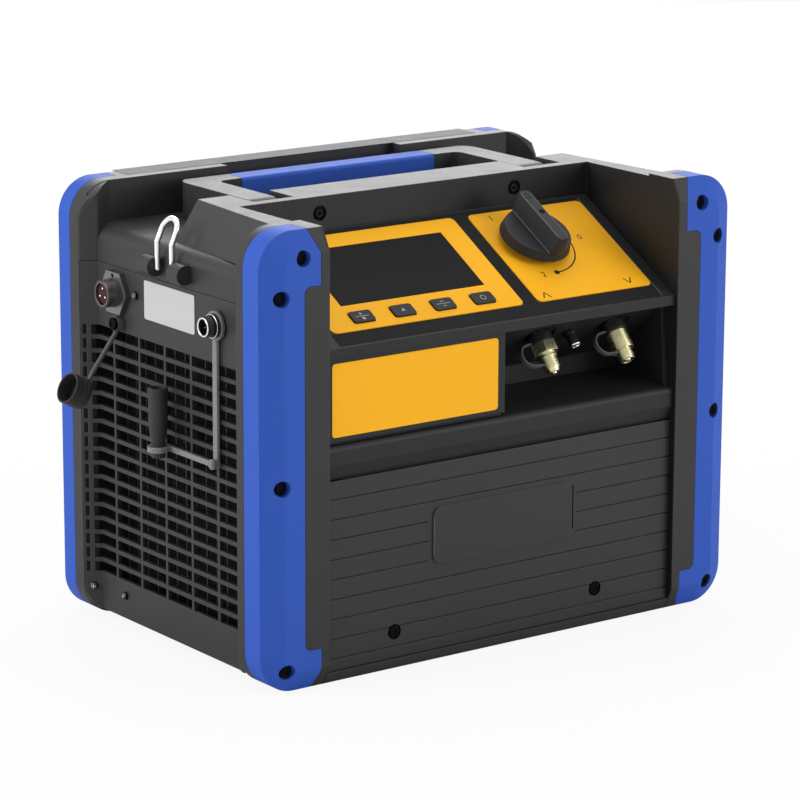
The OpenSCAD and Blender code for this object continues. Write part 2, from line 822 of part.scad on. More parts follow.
module carry_handle() {
    color(black) difference() {
        union() {
            difference() {
                intersection() {
                    along_x(-arm_out, arm_out) handle_side();
                    along_z(handle_low - 1, handle_top + 1) handle_plan();
                }
                translate([-grip_half - panel_gap, handle_y1 - bar_d - turn_in, handle_low - 1])
                    cube([2 * (grip_half + panel_gap), bar_d + 2 * turn_in, 2 * heel_r + 2]);
            }
            along_x(-grip_half - 1, grip_half + 1) bar_side(grip_t);
        }
        translate([0, pivot_y, pivot_z]) bar_x(-arm_out - 1, arm_out + 1, handle_pin_r + run_gap);
    }
}
module handle_grip() {
    color(blue) along_x(-grip_half, grip_half) difference() {
        bar_side(0);
        bar_side(grip_t - 0.1);
    }
}
module handle_pins() {
    color(steel) both_sides() translate([0, pivot_y, pivot_z]) bar_x(pocket_in - 8, pocket_out + 8, handle_pin_r);
}
module handle_spacers() {
    spacer = pocket_side - 2 * panel_gap;
    color(steel) both_sides() for (x = [pocket_in + panel_gap, arm_out + panel_gap])
        translate([0, pivot_y, pivot_z]) difference() {
            bar_x(x, x + spacer, handle_pin_r + 4);
            bar_x(x - 1, x + spacer + 1, handle_pin_r + run_gap);
        }
}

// Overlays, window and keys on the console
module overlay(x0, w) {
    on_console() translate([x0 + w / 2, overlay_s0 + overlay_h / 2, 0])
        linear_extrude(overlay_t) round_plate(w, overlay_h, 4);
}
module display_overlay() {
    color(yellow) difference() {
        overlay(display_x0, display_w);
        window_place() translate([0, 0, -1]) linear_extrude(4) square([window_w, window_h], center = true);
        key_places() translate([0, 0, -1])
            linear_extrude(4) round_plate(key_w + 2 * key_gap, key_h + 2 * key_gap, 2);
    }
}
module display_lens() {
    color(dark) window_place() linear_extrude(overlay_t)
        square([window_w - 2 * panel_gap, window_h - 2 * panel_gap], center = true);
}
module selector_overlay() {
    color(yellow) difference() {
        overlay(selector_x0, selector_w);
        knob_place() translate([0, 0, -1]) cylinder(h = 4, r = stem_r + 1);
    }
}
// A key cap with a flange under the console that keeps it in
module key(i) {
    low = -wall - panel_gap - key_flange_t;
    color(yellow) on_console() translate([key_x0 + i * key_pitch, key_s, 0]) {
        translate([0, 0, low]) linear_extrude(overlay_t + key_stand - low) round_plate(key_w, key_h, 2);
        translate([0, 0, low])
            linear_extrude(key_flange_t) square([key_w + 2 * key_flange, key_h + 2 * key_flange], center = true);
    }
}
module key_1() { key(0); }
module key_2() { key(1); }
module key_3() { key(2); }
module key_4() { key(3); }

// Switch board behind the keys, on four posts from the console
board_t = 1.6;
board_s = 22;
module key_board() {
    low = -wall - panel_gap - key_flange_t;
    switch_top = low - key_travel - 0.15;
    span = 3 * key_pitch + key_w + 16;
    color(green) {
        on_console() translate([key_x0 + 1.5 * key_pitch, key_s, -board_drop - 4]) {
            translate([0, 0, -board_t / 2]) cube([span, board_s, board_t], center = true);
            for (x = [-1, 1])
                translate([x * (span / 2 - 2.5), 0, -eps]) cylinder(h = board_drop + 4 - wall + eps, r = 2.2);
        }
        key_places() translate([-3, -3, -board_drop - 4 - eps])
            cube([6, 6, switch_top + board_drop + 4 + eps]);
    }
}
module display_module() {
    h = 9;
    color(green) window_place() translate([0, 0, -wall - h])
        linear_extrude(h) square([window_w, window_h - 8], center = true);
}

// Selector knob: a lifted skirt with a finger bar across it, on the valve stem
knob_seat = 12;
module selector_knob() {
    color(black) knob_place() difference() {
        union() {
            translate([0, 0, knob_lift]) cylinder(h = 7, r1 = knob_r, r2 = knob_r - 1.5);
            translate([0, 0, overlay_t + panel_gap]) cylinder(h = knob_lift, r = knob_seat);
            intersection() {
                translate([0, 0, knob_lift + 6]) linear_extrude(knob_top - knob_lift - 6)
                    round_plate(knob_bar + 3, 2 * knob_r + 2, knob_bar / 2);
                translate([0, knob_r + 2, 0]) rotate([90, 0, 0]) linear_extrude(2 * knob_r + 4)
                    polygon([[-knob_bar / 2 - 1.5, knob_lift], [knob_bar / 2 + 1.5, knob_lift],
                        [knob_bar / 2 - 2, knob_top], [2 - knob_bar / 2, knob_top]]);
            }
        }
        translate([0, 0, -1]) cylinder(h = knob_lift + 14, r = stem_r + 0.02);
    }
}
valve_top = wall + 8;
valve_l = 32;
module valve_stem() {
    color(steel) knob_place() translate([0, 0, -valve_top - valve_l + 6])
        cylinder(h = valve_top + valve_l - 6 + knob_lift + 12, r = stem_r);
}
module valve_body() {
    color(brass) knob_place() difference() {
        union() {
            translate([0, 0, -valve_top]) cylinder(h = valve_top - wall, r = 12);
            translate([-17, -17, -valve_top - valve_l]) cube([34, 34, valve_l + eps]);
        }
        translate([0, 0, -valve_top - valve_l + 5]) cylinder(h = valve_l + valve_top, r = stem_r + run_gap);
    }
}

// Hose fittings under the lip: lock nut, hex or plain barrel, ring and flare thread with a coned tip
lock_t = 7;
shank_in = 18;
thread_l = 7.5;
neck_r = flare_r + 1.1;
neck_l = 3.5;
bore_r = 3.9;
module fitting_core(tip) {
    translate([0, 0, -shank_in]) cylinder(h = shank_in + lock_t + eps, r = lock_r);
    translate([0, 0, fitting_l - tip - thread_l]) cylinder(h = thread_l, r = flare_r);
    translate([0, 0, fitting_l - tip - eps]) cylinder(h = tip + eps, r1 = flare_r - 0.4, r2 = flare_r - 0.4 - tip * 0.4);
}
module fitting_bore(r) { translate([0, 0, fitting_l - 6]) cylinder(h = 7, r = r); }
inlet_tip = fitting_l - lock_t - hex_t - neck_l - thread_l;
outlet_tip = 0.6;
module inlet_fitting() {
    color(brass) on_port(port_x1) difference() {
        union() {
            fitting_core(inlet_tip);
            translate([0, 0, lock_t]) cylinder(h = hex_t + neck_l, r = neck_r);
            translate([0, 0, lock_t]) cylinder(h = hex_t, r = hex_af / sqrt(3), $fn = 6);
        }
        fitting_bore(bore_r / 2);
    }
}
module outlet_fitting() {
    color(brass) on_port(port_x2) difference() {
        union() {
            fitting_core(outlet_tip);
            translate([0, 0, lock_t]) cylinder(h = fitting_l - outlet_tip - thread_l - lock_t, r = barrel_r);
        }
        fitting_bore(bore_r);
    }
}
module port_nuts() {
    color(dark) port_places() difference() {
        cylinder(h = lock_t - panel_gap, r = 9);
        translate([0, 0, -1]) cylinder(h = lock_t + 2, r = lock_r + run_gap);
    }
}
module bay_stud() {
    color(dark) on_port(stud_x) {
        translate([0, 0, -wall - 3]) cylinder(h = wall + 3 + eps, r = stud_r);
        cylinder(h = 3, r = stud_r + 1.2);
        translate([0, 0, 3 - eps]) cylinder(h = 8, r = stud_r + 0.4);
    }
}
// Manifold behind the ports, carried on the two fittings
module manifold() {
    x0 = port_x1 - 15;
    x1 = port_x2 + 15;
    color(brass) difference() {
        on_port(x0) translate([0, -13, -32]) cube([x1 - x0, 22, 32 - wall - 1]);
        port_places() translate([0, 0, -shank_in - 2]) cylinder(h = shank_in + 4, r = lock_r + run_gap);
        on_port(stud_x) translate([0, 0, -wall - 4]) cylinder(h = 10, r = stud_r + 1);
    }
}

// Power connector on the left side
flange_t = 4;
socket_r = power_r - 2;
insert_l = power_l + 1;
module power_connector() {
    color(steel) on_left(power_y, power_z) difference() {
        union() {
            rotate([0, 0, 30]) cylinder(h = flange_t, r = flange_af / sqrt(3), $fn = 6);
            translate([0, 0, -skin - 6]) cylinder(h = power_l + skin + 6, r = power_r);
        }
        translate([0, 0, -skin - 7]) cylinder(h = power_l + skin + 9, r = socket_r);
        translate([flange_af / 2 - 2.6, 0, -1]) cylinder(h = flange_t + 2, r = 1.6);
    }
}
module power_insert() {
    color(red) on_left(power_y, power_z) translate([0, 0, -skin - 6]) difference() {
        cylinder(h = insert_l + skin, r = socket_r - 0.02);
        power_pin_places() translate([0, 0, -1]) cylinder(h = insert_l + skin + 2, r = 1.2 + run_gap);
    }
}
module power_pin_places() {
    for (a = [0, 120, 240]) rotate([0, 0, a]) translate([3.8, 0, 0]) children();
}
module power_pins() {
    color(steel) on_left(power_y, power_z) translate([0, 0, -skin - 9])
        power_pin_places() cylinder(h = insert_l + skin + 3.8, r = 1.2);
}

// Dust cap of the power connector, on a strap that hangs from a screw below the flange
hook_y = power_y - 4;
hook_z = power_z - flange_af / 2 - 6.5;
hook_r = 5;
strap_r = 1.6;
hook_t = 4.6;
strap_foot = [-side_x - panel_gap - hook_t / 2, hook_y, hook_z - hook_r + 0.8];
strap_end = [-side_x - strap_out, hook_y, hook_z - strap_drop];
strap_angle = atan2(strap_foot[0] - strap_end[0], strap_foot[2] - strap_end[2]);
strap_l = norm(strap_end - strap_foot);
cap_hold = 9;
cap_tilt = 27;
module dust_cap_strap() {
    color(dark) {
        on_left(hook_y, hook_z) difference() {
            translate([0, 0, panel_gap]) cylinder(h = hook_t, r = hook_r);
            translate([0, 0, -1]) cylinder(h = hook_t + 2, r = shank_r + run_gap);
        }
        difference() {
            translate(strap_foot) rotate([180, strap_angle, 0]) cylinder(h = strap_l + cap_r, r = strap_r);
            on_left(hook_y, hook_z) translate([0, 0, -2]) cylinder(h = 12, r = hook_r - 1.2);
            strap_cap_place() translate([-5 * cap_r, -5 * cap_r, 0]) cube([10 * cap_r, 10 * cap_r, 5 * cap_r]);
        }
    }
}
module strap_cap_place() {
    translate(strap_end) rotate([0, cap_tilt - 90, 0]) translate([-cap_hold, 0, 0]) children();
}
module dust_cap() {
    color(dark) strap_cap_place() difference() {
        cylinder(h = cap_l, r = cap_r);
        translate([0, 0, 2.5]) cylinder(h = cap_l, r = power_r + 0.15);
    }
}

// Sensor connector with its clear strap, clear arm and rubber cap
sensor_l = 12;
strap_w = 5;
clear_t = 2;
ring_r = 10;
clear_x = 1.2;
elbow_z = sensor_z - clear_l;
cap_out = 11.5;
module sensor_connector() {
    color(steel) on_left(sensor_y, sensor_z) difference() {
        union() {
            translate([0, 0, -skin - 8]) cylinder(h = skin + 8 + sensor_l, r = sensor_r);
            translate([0, 0, clear_x + clear_t + panel_gap]) cylinder(h = 2, r = sensor_r + 1.6);
        }
        translate([0, 0, 4]) cylinder(h = sensor_l, r = sensor_r - 1.6);
    }
}
module sensor_strap() {
    color(clear) difference() {
        on_left(0, 0) translate([0, 0, clear_x]) linear_extrude(clear_t) {
            translate([sensor_z, sensor_y]) circle(ring_r);
            translate([elbow_z, sensor_y - strap_w / 2]) square([clear_l, strap_w]);
            translate([elbow_z, sensor_y]) circle(strap_w / 2 + 1);
        }
        on_left(sensor_y, sensor_z) cylinder(h = 8, r = sensor_r + run_gap);
        on_left(sensor_y, elbow_z) cylinder(h = 8, r = 1.8);
    }
}
cap_len = 52;
cap_low = -6;
module sensor_arm() {
    base = clear_x + clear_t + panel_gap;
    color(clear) difference() {
        union() {
            on_left(sensor_y, elbow_z) {
                translate([0, 0, base]) cylinder(h = 3, r = strap_w / 2 + 1);
                translate([0, 0, clear_x - 0.6]) cylinder(h = base, r = 1.8 - run_gap);
                translate([-1.8, 0, base]) cube([3.6, clear_arm - 5, 2.4]);
            }
            translate([-side_x - cap_out, sensor_y + clear_arm, elbow_z - 1.8]) cylinder(h = 3.6, r = 7.6);
        }
        translate([-side_x - cap_out, sensor_y + clear_arm, elbow_z - 6]) cylinder(h = 12, r = 4.8 + 0.02);
    }
}
// A moulded cap of revolution with a blind bore
module sensor_cap() {
    color(dark) translate([-side_x - cap_out, sensor_y + clear_arm, elbow_z]) rotate_extrude()
        polygon([[0, cap_low], [4.8, cap_low], [4.8, 4], [rubber_r, 16], [rubber_r, cap_len - 14],
            [rubber_r + 0.4, cap_len - 14], [rubber_r + 0.4, cap_len - 10], [4.6, cap_len - 10], [4.6, 18], [0, 18]]);
}

// Wire bail and the two-ear bracket that it turns in
ear_gap = leg_half + wire_r + 0.8;
module bail_bracket() {
    color(black) difference() {
        translate([bail_x, bail_y, bail_z]) {
            bar_y(-bracket_half, -ear_gap, bracket_r);
            bar_y(ear_gap, bracket_half, bracket_r);
        }
        translate([-side_x, -body_d, 0]) cube([body_w, 2 * body_d, body_h]);
        translate([bail_x, bail_y, bail_z]) bar_y(-bracket_half + 6, bracket_half - 6, wire_r + run_gap);
    }
}
// The wire's line: a stub in each ear, a straight leg, a bend inwards and a round arch
knee_r = wire_r + 0.06;
lean = atan2(lean_in, lean_h);
arch_rise = norm([lean_in, lean_h]) - leg_half;
module ring_sector(r, angle, thick) { rotate_extrude(angle = angle) translate([r, 0]) circle(thick); }
module bail_leg() {
    bar_y(leg_half, bracket_half - 7, wire_r);
    translate([0, leg_half, 0]) sphere(knee_r);
    translate([0, leg_half, 0]) cylinder(h = leg_h, r = wire_r);
    translate([0, leg_half, leg_h]) rotate([0, lean, 0]) {
        sphere(knee_r);
        cylinder(h = arch_rise, r = wire_r);
        translate([0, 0, arch_rise]) sphere(knee_r);
    }
}
module bail() {
    color(steel) translate([bail_x, bail_y, bail_z]) {
        bail_leg();
        mirror([0, 1, 0]) bail_leg();
        translate([0, 0, leg_h]) rotate([0, lean, 0]) translate([0, 0, arch_rise])
            rotate([90, 0, 90]) ring_sector(leg_half, 180, wire_r);
    }
}

// Condenser: plate fins on one serpentine tube, standing on the tray
pass_pitch = 24;
tube_z0 = 40;
fin_span = -2 * frame_in - 46;
fin_t = 1.2;
fin_low = 24;
fin_top = tube_z0 + (passes - 1) * pass_pitch + 12;
tube_x = condenser_x + condenser_d / 2;
module tube_places() {
    for (i = [0 : passes - 1]) translate([tube_x, 0, tube_z0 + i * pass_pitch]) children();
}
module fin(y, low) { translate([condenser_x, y - fin_t / 2, low]) cube([condenser_d, fin_t, fin_top - low]); }
module condenser_fins() {
    color(steel) difference() {
        for (i = [0 : fins - 1])
            fin(fan_y - fin_span / 2 + i * fin_span / (fins - 1), i % (fins - 1) == 0 ? tray_lip : fin_low);
        tube_places() bar_y(fan_y - fin_span, fan_y + fin_span, line_r + 0.05);
    }
}
module condenser_tube() {
    end = fin_span / 2 + 4;
    color(copper) {
        tube_places() bar_y(fan_y - end, fan_y + end, line_r);
        for (i = [0 : passes - 2]) {
            s = i % 2 == 0 ? 1 : -1;
            translate([tube_x, fan_y + s * end, tube_z0 + (i + 0.5) * pass_pitch])
                rotate([90, 0, 90]) rotate([0, 0, -90 * s]) ring_sector(pass_pitch / 2, 180, line_r);
        }
    }
}

// Fan in its shroud, driven by its own motor
module fan_shroud() {
    w = fin_span + 22;
    color(dark) difference() {
        union() {
            translate([shroud_x, fan_y - w / 2, tray_t]) cube([3, w, fan_z + fan_r + 8]);
            translate([0, fan_y, fan_z]) bar_x(shroud_x, shroud_x + fan_w + 4, fan_r + 6);
        }
        translate([0, fan_y, fan_z]) bar_x(shroud_x - 1, shroud_x + fan_w + 6, fan_r + 3);
    }
}
module fan_rotor() {
    hub = 20;
    color(dark) translate([fan_x, fan_y, fan_z]) rotate([0, 90, 0]) difference() {
        union() {
            cylinder(h = fan_w, r = hub);
            intersection() {
                translate([0, 0, 0.5]) cylinder(h = fan_w - 1, r = fan_r);
                for (i = [0 : fan_blades - 1])
                    rotate([0, 0, i * 360 / fan_blades]) translate([hub - 2, -16, fan_w / 2]) rotate([32, 0, 0])
                        translate([0, -2, -1.2]) cube([fan_r, 36, 2.4]);
            }
        }
        translate([0, 0, -1]) cylinder(h = fan_w + 2, r = shaft_r + 0.02);
    }
}
module fan_shaft() {
    color(steel) translate([0, fan_y, fan_z]) bar_x(fan_x + 2, motor_x + motor_l - 8, shaft_r);
}
module fan_motor() {
    color(steel) translate([0, fan_y, fan_z]) difference() {
        bar_x(motor_x, motor_x + motor_l, motor_r);
        bar_x(motor_x - 1, motor_x + motor_l - 6, shaft_r + run_gap);
    }
}
module motor_bracket() {
    color(steel) difference() {
        translate([motor_x + 10, fan_y - 24, tray_t]) cube([20, 48, fan_z - tray_t]);
        translate([0, fan_y, fan_z]) bar_x(motor_x, motor_x + motor_l, motor_r + 0.1);
        translate([motor_x + 9, fan_y - 18, tray_t + 4]) cube([22, 36, 50]);
    }
}

// Compressor with two finned heads and its motor, on four rubber mounts
mount_h = 20;
plate_t = 5;
comp_x = 20;
comp_l = 70;
comp_y = 5;
comp_z = tray_t + mount_h + plate_t + case_r;
module compressor() {
    color(steel) {
        translate([comp_x - 70, comp_y - 50, tray_t + mount_h]) cube([170, 100, plate_t]);
        translate([0, comp_y, comp_z]) bar_x(comp_x, comp_x + comp_l, case_r);
        translate([comp_x, comp_y - 20, tray_t + mount_h + plate_t - eps]) cube([comp_l, 40, 30]);
        for (x = [comp_x + 18, comp_x + 52]) translate([x, comp_y, comp_z + case_r - 8]) {
            cylinder(h = 46, r = 13);
            for (i = [0 : 3]) translate([0, 0, 14 + i * 9]) cylinder(h = 3, r = 16);
        }
    }
}
module compressor_motor() {
    r = case_r - 6;
    color(dark) {
        translate([0, comp_y, comp_z]) bar_x(comp_x - 62, comp_x - 0.2, r);
        translate([comp_x - 54, comp_y - 16, tray_t + mount_h + plate_t]) cube([44, 32, 16]);
    }
}
module rubber_mounts() {
    color(dark) for (x = [comp_x - 58, comp_x + 88], y = [-40, 40])
        translate([x, comp_y + y, tray_t]) cylinder(h = mount_h, r = 9);
}
// Filter drier upright on the tray
filter_x = 150;
filter_y = 20;
module filter_drier() {
    color(steel) translate([filter_x, filter_y, tray_t]) {
        cylinder(h = 12, r = 12);
        translate([0, 0, 12 - eps]) cylinder(h = 90, r = 18);
        translate([0, 0, 102 - eps]) cylinder(h = 12, r1 = 18, r2 = 8);
    }
}
// Refrigerant lines: round tube with ball bends
module line(points) {
    for (i = [0 : len(points) - 2]) {
        v = points[i + 1] - points[i];
        l = norm(v);
        translate(points[i]) rotate([0, acos(v[2] / l), atan2(v[1], v[0])]) cylinder(h = l, r = line_r);
    }
    for (i = [1 : len(points) - 2]) translate(points[i]) sphere(line_r);
}
module refrigerant_lines() {
    filter_top = tray_t + 114;
    head_z = comp_z + case_r + 38;
    head_x = comp_x + 52;
    tube_top = tube_z0 + (passes - 1) * pass_pitch;
    over_z = max(fin_top, tray_t + fan_z + fan_r + 8) + line_r + 6;
    end_y = fan_y - fin_span / 2 - 4;
    turn_y = end_y - 10;
    color(copper) {
        line([[filter_x, filter_y, filter_top], [filter_x, filter_y, head_z + 26],
            [head_x, filter_y, head_z + 26], [head_x, comp_y, head_z + 26], [head_x, comp_y, head_z]]);
        line([[comp_x + 18, comp_y, head_z], [comp_x + 18, comp_y, over_z], [tube_x, comp_y, over_z],
            [tube_x, turn_y, over_z], [tube_x, turn_y, tube_top], [tube_x, end_y, tube_top]]);
    }
}

front_frame();
rear_frame();
bumper_front_left();
bumper_front_right();
bumper_rear_left();
bumper_rear_right();
bumper_screws();
top_housing();
top_cover();
left_side_panel();
right_side_panel();
base_tray();
rear_cover();
control_panel();
lower_front_panel();
panel_screws();
carry_handle();
handle_grip();
handle_pins();
handle_spacers();
display_overlay();
display_lens();
selector_overlay();
key_1();
key_2();
key_3();
key_4();
selector_knob();
valve_stem();
inlet_fitting();
outlet_fitting();
port_nuts();
bay_stud();
power_connector();
power_insert();
power_pins();
dust_cap();
dust_cap_strap();
sensor_connector();
sensor_strap();
sensor_arm();
sensor_cap();
bail_bracket();
bail();
condenser_fins();
condenser_tube();
fan_shroud();
fan_rotor();
fan_shaft();
fan_motor();
motor_bracket();
compressor();
compressor_motor();
rubber_mounts();
valve_body();
manifold();
key_board();
display_module();
filter_drier();
refrigerant_lines();
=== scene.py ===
"""Looks of a refrigerant recovery machine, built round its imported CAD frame.

Run as a script in Blender. Lengths inside the helpers are millimetres in the machine's own frame:
+Z up, front towards -Y, origin at the centre of the base. Meshes are written in metres.
"""

import json
import math

import bpy
import numpy as np
from bpy.props import FloatProperty, FloatVectorProperty, IntProperty, PointerProperty
from mathutils import Matrix


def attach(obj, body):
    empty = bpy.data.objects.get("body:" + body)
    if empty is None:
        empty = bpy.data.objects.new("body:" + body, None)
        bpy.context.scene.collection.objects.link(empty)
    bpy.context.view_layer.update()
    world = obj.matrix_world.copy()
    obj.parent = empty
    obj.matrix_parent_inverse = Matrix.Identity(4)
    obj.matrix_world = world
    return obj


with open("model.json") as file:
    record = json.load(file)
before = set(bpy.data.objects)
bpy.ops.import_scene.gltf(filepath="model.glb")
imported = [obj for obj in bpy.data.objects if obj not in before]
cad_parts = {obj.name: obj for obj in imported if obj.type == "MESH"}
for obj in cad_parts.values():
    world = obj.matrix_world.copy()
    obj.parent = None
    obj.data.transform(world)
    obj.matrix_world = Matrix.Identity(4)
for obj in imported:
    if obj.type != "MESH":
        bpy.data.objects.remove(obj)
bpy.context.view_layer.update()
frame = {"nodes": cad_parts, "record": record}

bl_info = {
    "name": "Recovery machine looks",
    "version": (1, 0, 0),
    "blender": (4, 5, 0),
    "location": "View3D > Sidebar > Machine",
    "description": "Finishes, printed marks, threads and fasteners of a refrigerant recovery machine",
    "category": "Object",
}

MM = 0.001
SLOT_OF = {s["node"]: s["material_slot"] for s in frame["record"]["subparts"]}

# Planes of the solids, in millimetres: walls beside and behind the console, front face, lower panel, rear frame; the
# first four also place the masks of painted shade
WALL_X, WALL_Y, FRONT_Y, PANEL_Y, REAR_Y = 149.5, -27.7, -131.0, -126.5, 97.95

# Places of the fittings: the two ports and the stud along the bay, the side connectors as (y, z),
# the selector on the console, and a screw of the ledge
INLET_X, OUTLET_X, STUD_X = 49.5, 115.4, 77.0
POWER_AT, SENSOR_AT = (63.8, 240.5), (-61.8, 240.0)
SELECTOR_AT = np.array((69.5, 71.0, 0.0))
LEDGE_SCREW = (84, -26.7, 298)

# The frames that pieces are placed in: an origin and three axes, x and y across, z out of the surface
TILT = math.atan2(57.0, 101.0)
DIP = math.radians(50)
CONSOLE = (np.array((0, -129.0, 230.0)),
           np.array(((1, 0, 0), (0, math.cos(TILT), math.sin(TILT)), (0, -math.sin(TILT), math.cos(TILT)))))


def port_frame(x):
    """A hose port: z runs out along the fitting, 50 degrees below the horizontal."""
    return (np.array((x, -118 + 23 * math.sin(DIP), 223 - 23 * math.cos(DIP))),
            np.array(((1, 0, 0), (0, -math.sin(DIP), math.cos(DIP)), (0, -math.cos(DIP), -math.sin(DIP)))))


def left_frame(y, z):
    """A place on the left side panel: x up, y to the rear, z out of the panel."""
    return np.array((-190.0, y, z)), np.array(((0, 0, 1), (0, 1, 0), (-1, 0, 0)), float)


def facing(origin, out, up=(0, 0, 1)):
    """A frame at origin whose z points along out and whose y is as near to up as it can be."""
    z = np.array(out, float) / np.linalg.norm(out)
    x = np.cross(up, z)
    x /= np.linalg.norm(x)
    return np.array(origin, float), np.array((x, np.cross(z, x), z))


def put(points, place):
    """Points of a frame, as rows, in the machine's frame: origin plus each coordinate along its axis."""
    origin, axes = place
    return np.asarray(points, float) @ axes + origin


# Surfaces on grids of two parameters

def quads(rows, cols, ring_rows=False, ring_cols=True):
    """The four-sided faces of a rows by cols grid of points, joined round where it is a ring."""
    r = np.arange(rows if ring_rows else rows - 1)[:, None]
    c = np.arange(cols if ring_cols else cols - 1)[None, :]
    r1, c1 = (r + 1) % rows, (c + 1) % cols
    grid = (r * cols + c, r * cols + c1, r1 * cols + c1, r1 * cols + c)
    return np.stack([np.broadcast_to(g, (r.size, c.size)) for g in grid], -1).reshape(-1, 4).tolist()


def flipped(faces):
    """Faces turned to the other side."""
    return [f[::-1] for f in faces]


def end_caps(rows, around):
    """The two end faces of a grid of rows by around points, the first turned to face outwards."""
    last = (rows - 1) * around
    return [list(range(around))[::-1], list(range(last, last + around))]


def swept(profile, around, radius_of):
    """Points of a profile of (radius, height) rows swept about z: (r cos a, r sin a, h).
    radius_of(r, h, a) may change the radius with the angle."""
    p = np.asarray(profile, float)
    a = np.linspace(0, 2 * np.pi, around, endpoint=False)[None, :]
    r, h = p[:, :1] + 0 * a, p[:, 1:] + 0 * a
    if radius_of:
        r = radius_of(r, h, a)
    return np.stack((r * np.cos(a), r * np.sin(a), h), -1).reshape(-1, 3)


def turned(profile, around=48, radius_of=None):
    """A profile that runs upwards on its outside, swept about z, with flat end caps."""
    rows = len(profile)
    return swept(profile, around, radius_of), quads(rows, around) + end_caps(rows, around)


def ring(profile, around=48, radius_of=None):
    """A closed profile, anticlockwise, swept about z into a ring."""
    return swept(profile, around, radius_of), quads(len(profile), around, ring_rows=True)


def bead(middle, high, across, up, around):
    """A rolled rim: the ellipse (middle + across cos t, high + up sin t) swept about z."""
    t = np.linspace(0, 2 * np.pi, 12, endpoint=False)
    return ring(np.column_stack((middle + across * np.cos(t), high + up * np.sin(t))), around)


def slab(outline, low, high, edge=0.0):
    """A flat outline, anticlockwise, raised from low to high, its top edge drawn in by edge as a small bevel."""
    o = np.asarray(outline, float)
    n = len(o)
    ahead, behind = np.roll(o, -1, 0) - o, o - np.roll(o, 1, 0)
    side = np.stack((ahead[:, 1] + behind[:, 1], -ahead[:, 0] - behind[:, 0]), 1)
    inner = o - edge * side / np.linalg.norm(side, axis=1, keepdims=True)
    levels = [(o, low), (o, high - edge), (inner, high)] if edge else [(o, low), (o, high)]
    points = np.concatenate([np.column_stack((q, np.full(n, z))) for q, z in levels])
    return points, quads(len(levels), n) + end_caps(len(levels), n)


def rect(x0, x1, y0, y1):
    """A rectangle as an outline."""
    return [(x0, y0), (x1, y0), (x1, y1), (x0, y1)]


def round_rect(x0, x1, y0, y1, r, arc=6):
    """A rectangle with round corners: four quarter circles joined by straight sides."""
    a = np.linspace(0, np.pi / 2, arc)
    turns = np.concatenate([a + k * np.pi / 2 for k in range(4)])
    cx = np.repeat((x1 - r, x0 + r, x0 + r, x1 - r), arc)
    cy = np.repeat((y1 - r, y1 - r, y0 + r, y0 + r), arc)
    return np.column_stack((cx + r * np.cos(turns), cy + r * np.sin(turns)))


def circle(x, y, r, n=32):
    """A circle as an outline: centre plus r (cos a, sin a)."""
    a = np.linspace(0, 2 * np.pi, n, endpoint=False)
    return np.column_stack((x + r * np.cos(a), y + r * np.sin(a)))


def ribbon(path, width, low, high, loop=False):
    """A flat line: a rectangle width wide carried along a path of (x, y) rows, from low to high."""
    p = np.asarray(path, float)
    if loop:
        t = np.roll(p, -1, 0) - np.roll(p, 1, 0)
    else:
        t = np.gradient(p, axis=0)
    t /= np.linalg.norm(t, axis=1, keepdims=True)
    n = np.column_stack((-t[:, 1], t[:, 0])) * width / 2
    corners = [(p - n, low), (p - n, high), (p + n, high), (p + n, low)]
    points = np.stack([np.column_stack((q, np.full(len(p), z))) for q, z in corners], 1).reshape(-1, 3)
    faces = quads(len(p), 4, ring_rows=loop) + ([] if loop else end_caps(len(p), 4))
    return points, flipped(faces)


def tube(path, radius, around=12):
    """A circle carried along a path: path + radius (cos a, sin a) in the plane across the path, ends capped."""
    p = np.asarray(path, float)
    t = np.gradient(p, axis=0)
    t /= np.linalg.norm(t, axis=1, keepdims=True)
    askew = np.array(((0.31, 0.95, 0.05), (0.9, 0.1, 0.4)))
    u = np.cross(t, askew[0] if abs(t[0] @ askew[0]) < 0.8 else askew[1])
    u /= np.linalg.norm(u, axis=1, keepdims=True)
    v = np.cross(t, u)
    a = np.linspace(0, 2 * np.pi, around, endpoint=False)[None, :, None]
    points = (p[:, None] + radius * (np.cos(a) * u[:, None] + np.sin(a) * v[:, None])).reshape(-1, 3)
    return points, quads(len(p), around) + end_caps(len(p), around)


def joined(parts):
    """Several (points, faces) parts as one, face numbers moved on by the points before them."""
    start = np.cumsum([0] + [len(p) for p, _ in parts])
    points = np.concatenate([p for p, _ in parts])
    return points, [[i + int(s) for i in f] for (_, fs), s in zip(parts, start) for f in fs]


def placed(parts, *places):
    """The parts moved into each of the places."""
    return [(put(p, place), f) for place in places for p, f in parts]


def make(name, parts, body, material, angle=35):
    """One mesh object from (points, faces) parts in millimetres, riding on a body, smooth up to an angle."""
    points, faces = joined(parts)
    mesh = bpy.data.meshes.new(name)
    mesh.from_pydata((points * MM).tolist(), [], faces)
    mesh.polygons.foreach_set("use_smooth", np.ones(len(mesh.polygons), bool))
    mesh.set_sharp_from_angle(angle=math.radians(angle))
    mesh.materials.append(material)
    mesh.validate()
    piece = bpy.data.objects.new(name, mesh)
    bpy.context.scene.collection.objects.link(piece)
    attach(piece, body)
    return piece


# Shader sums and finishes

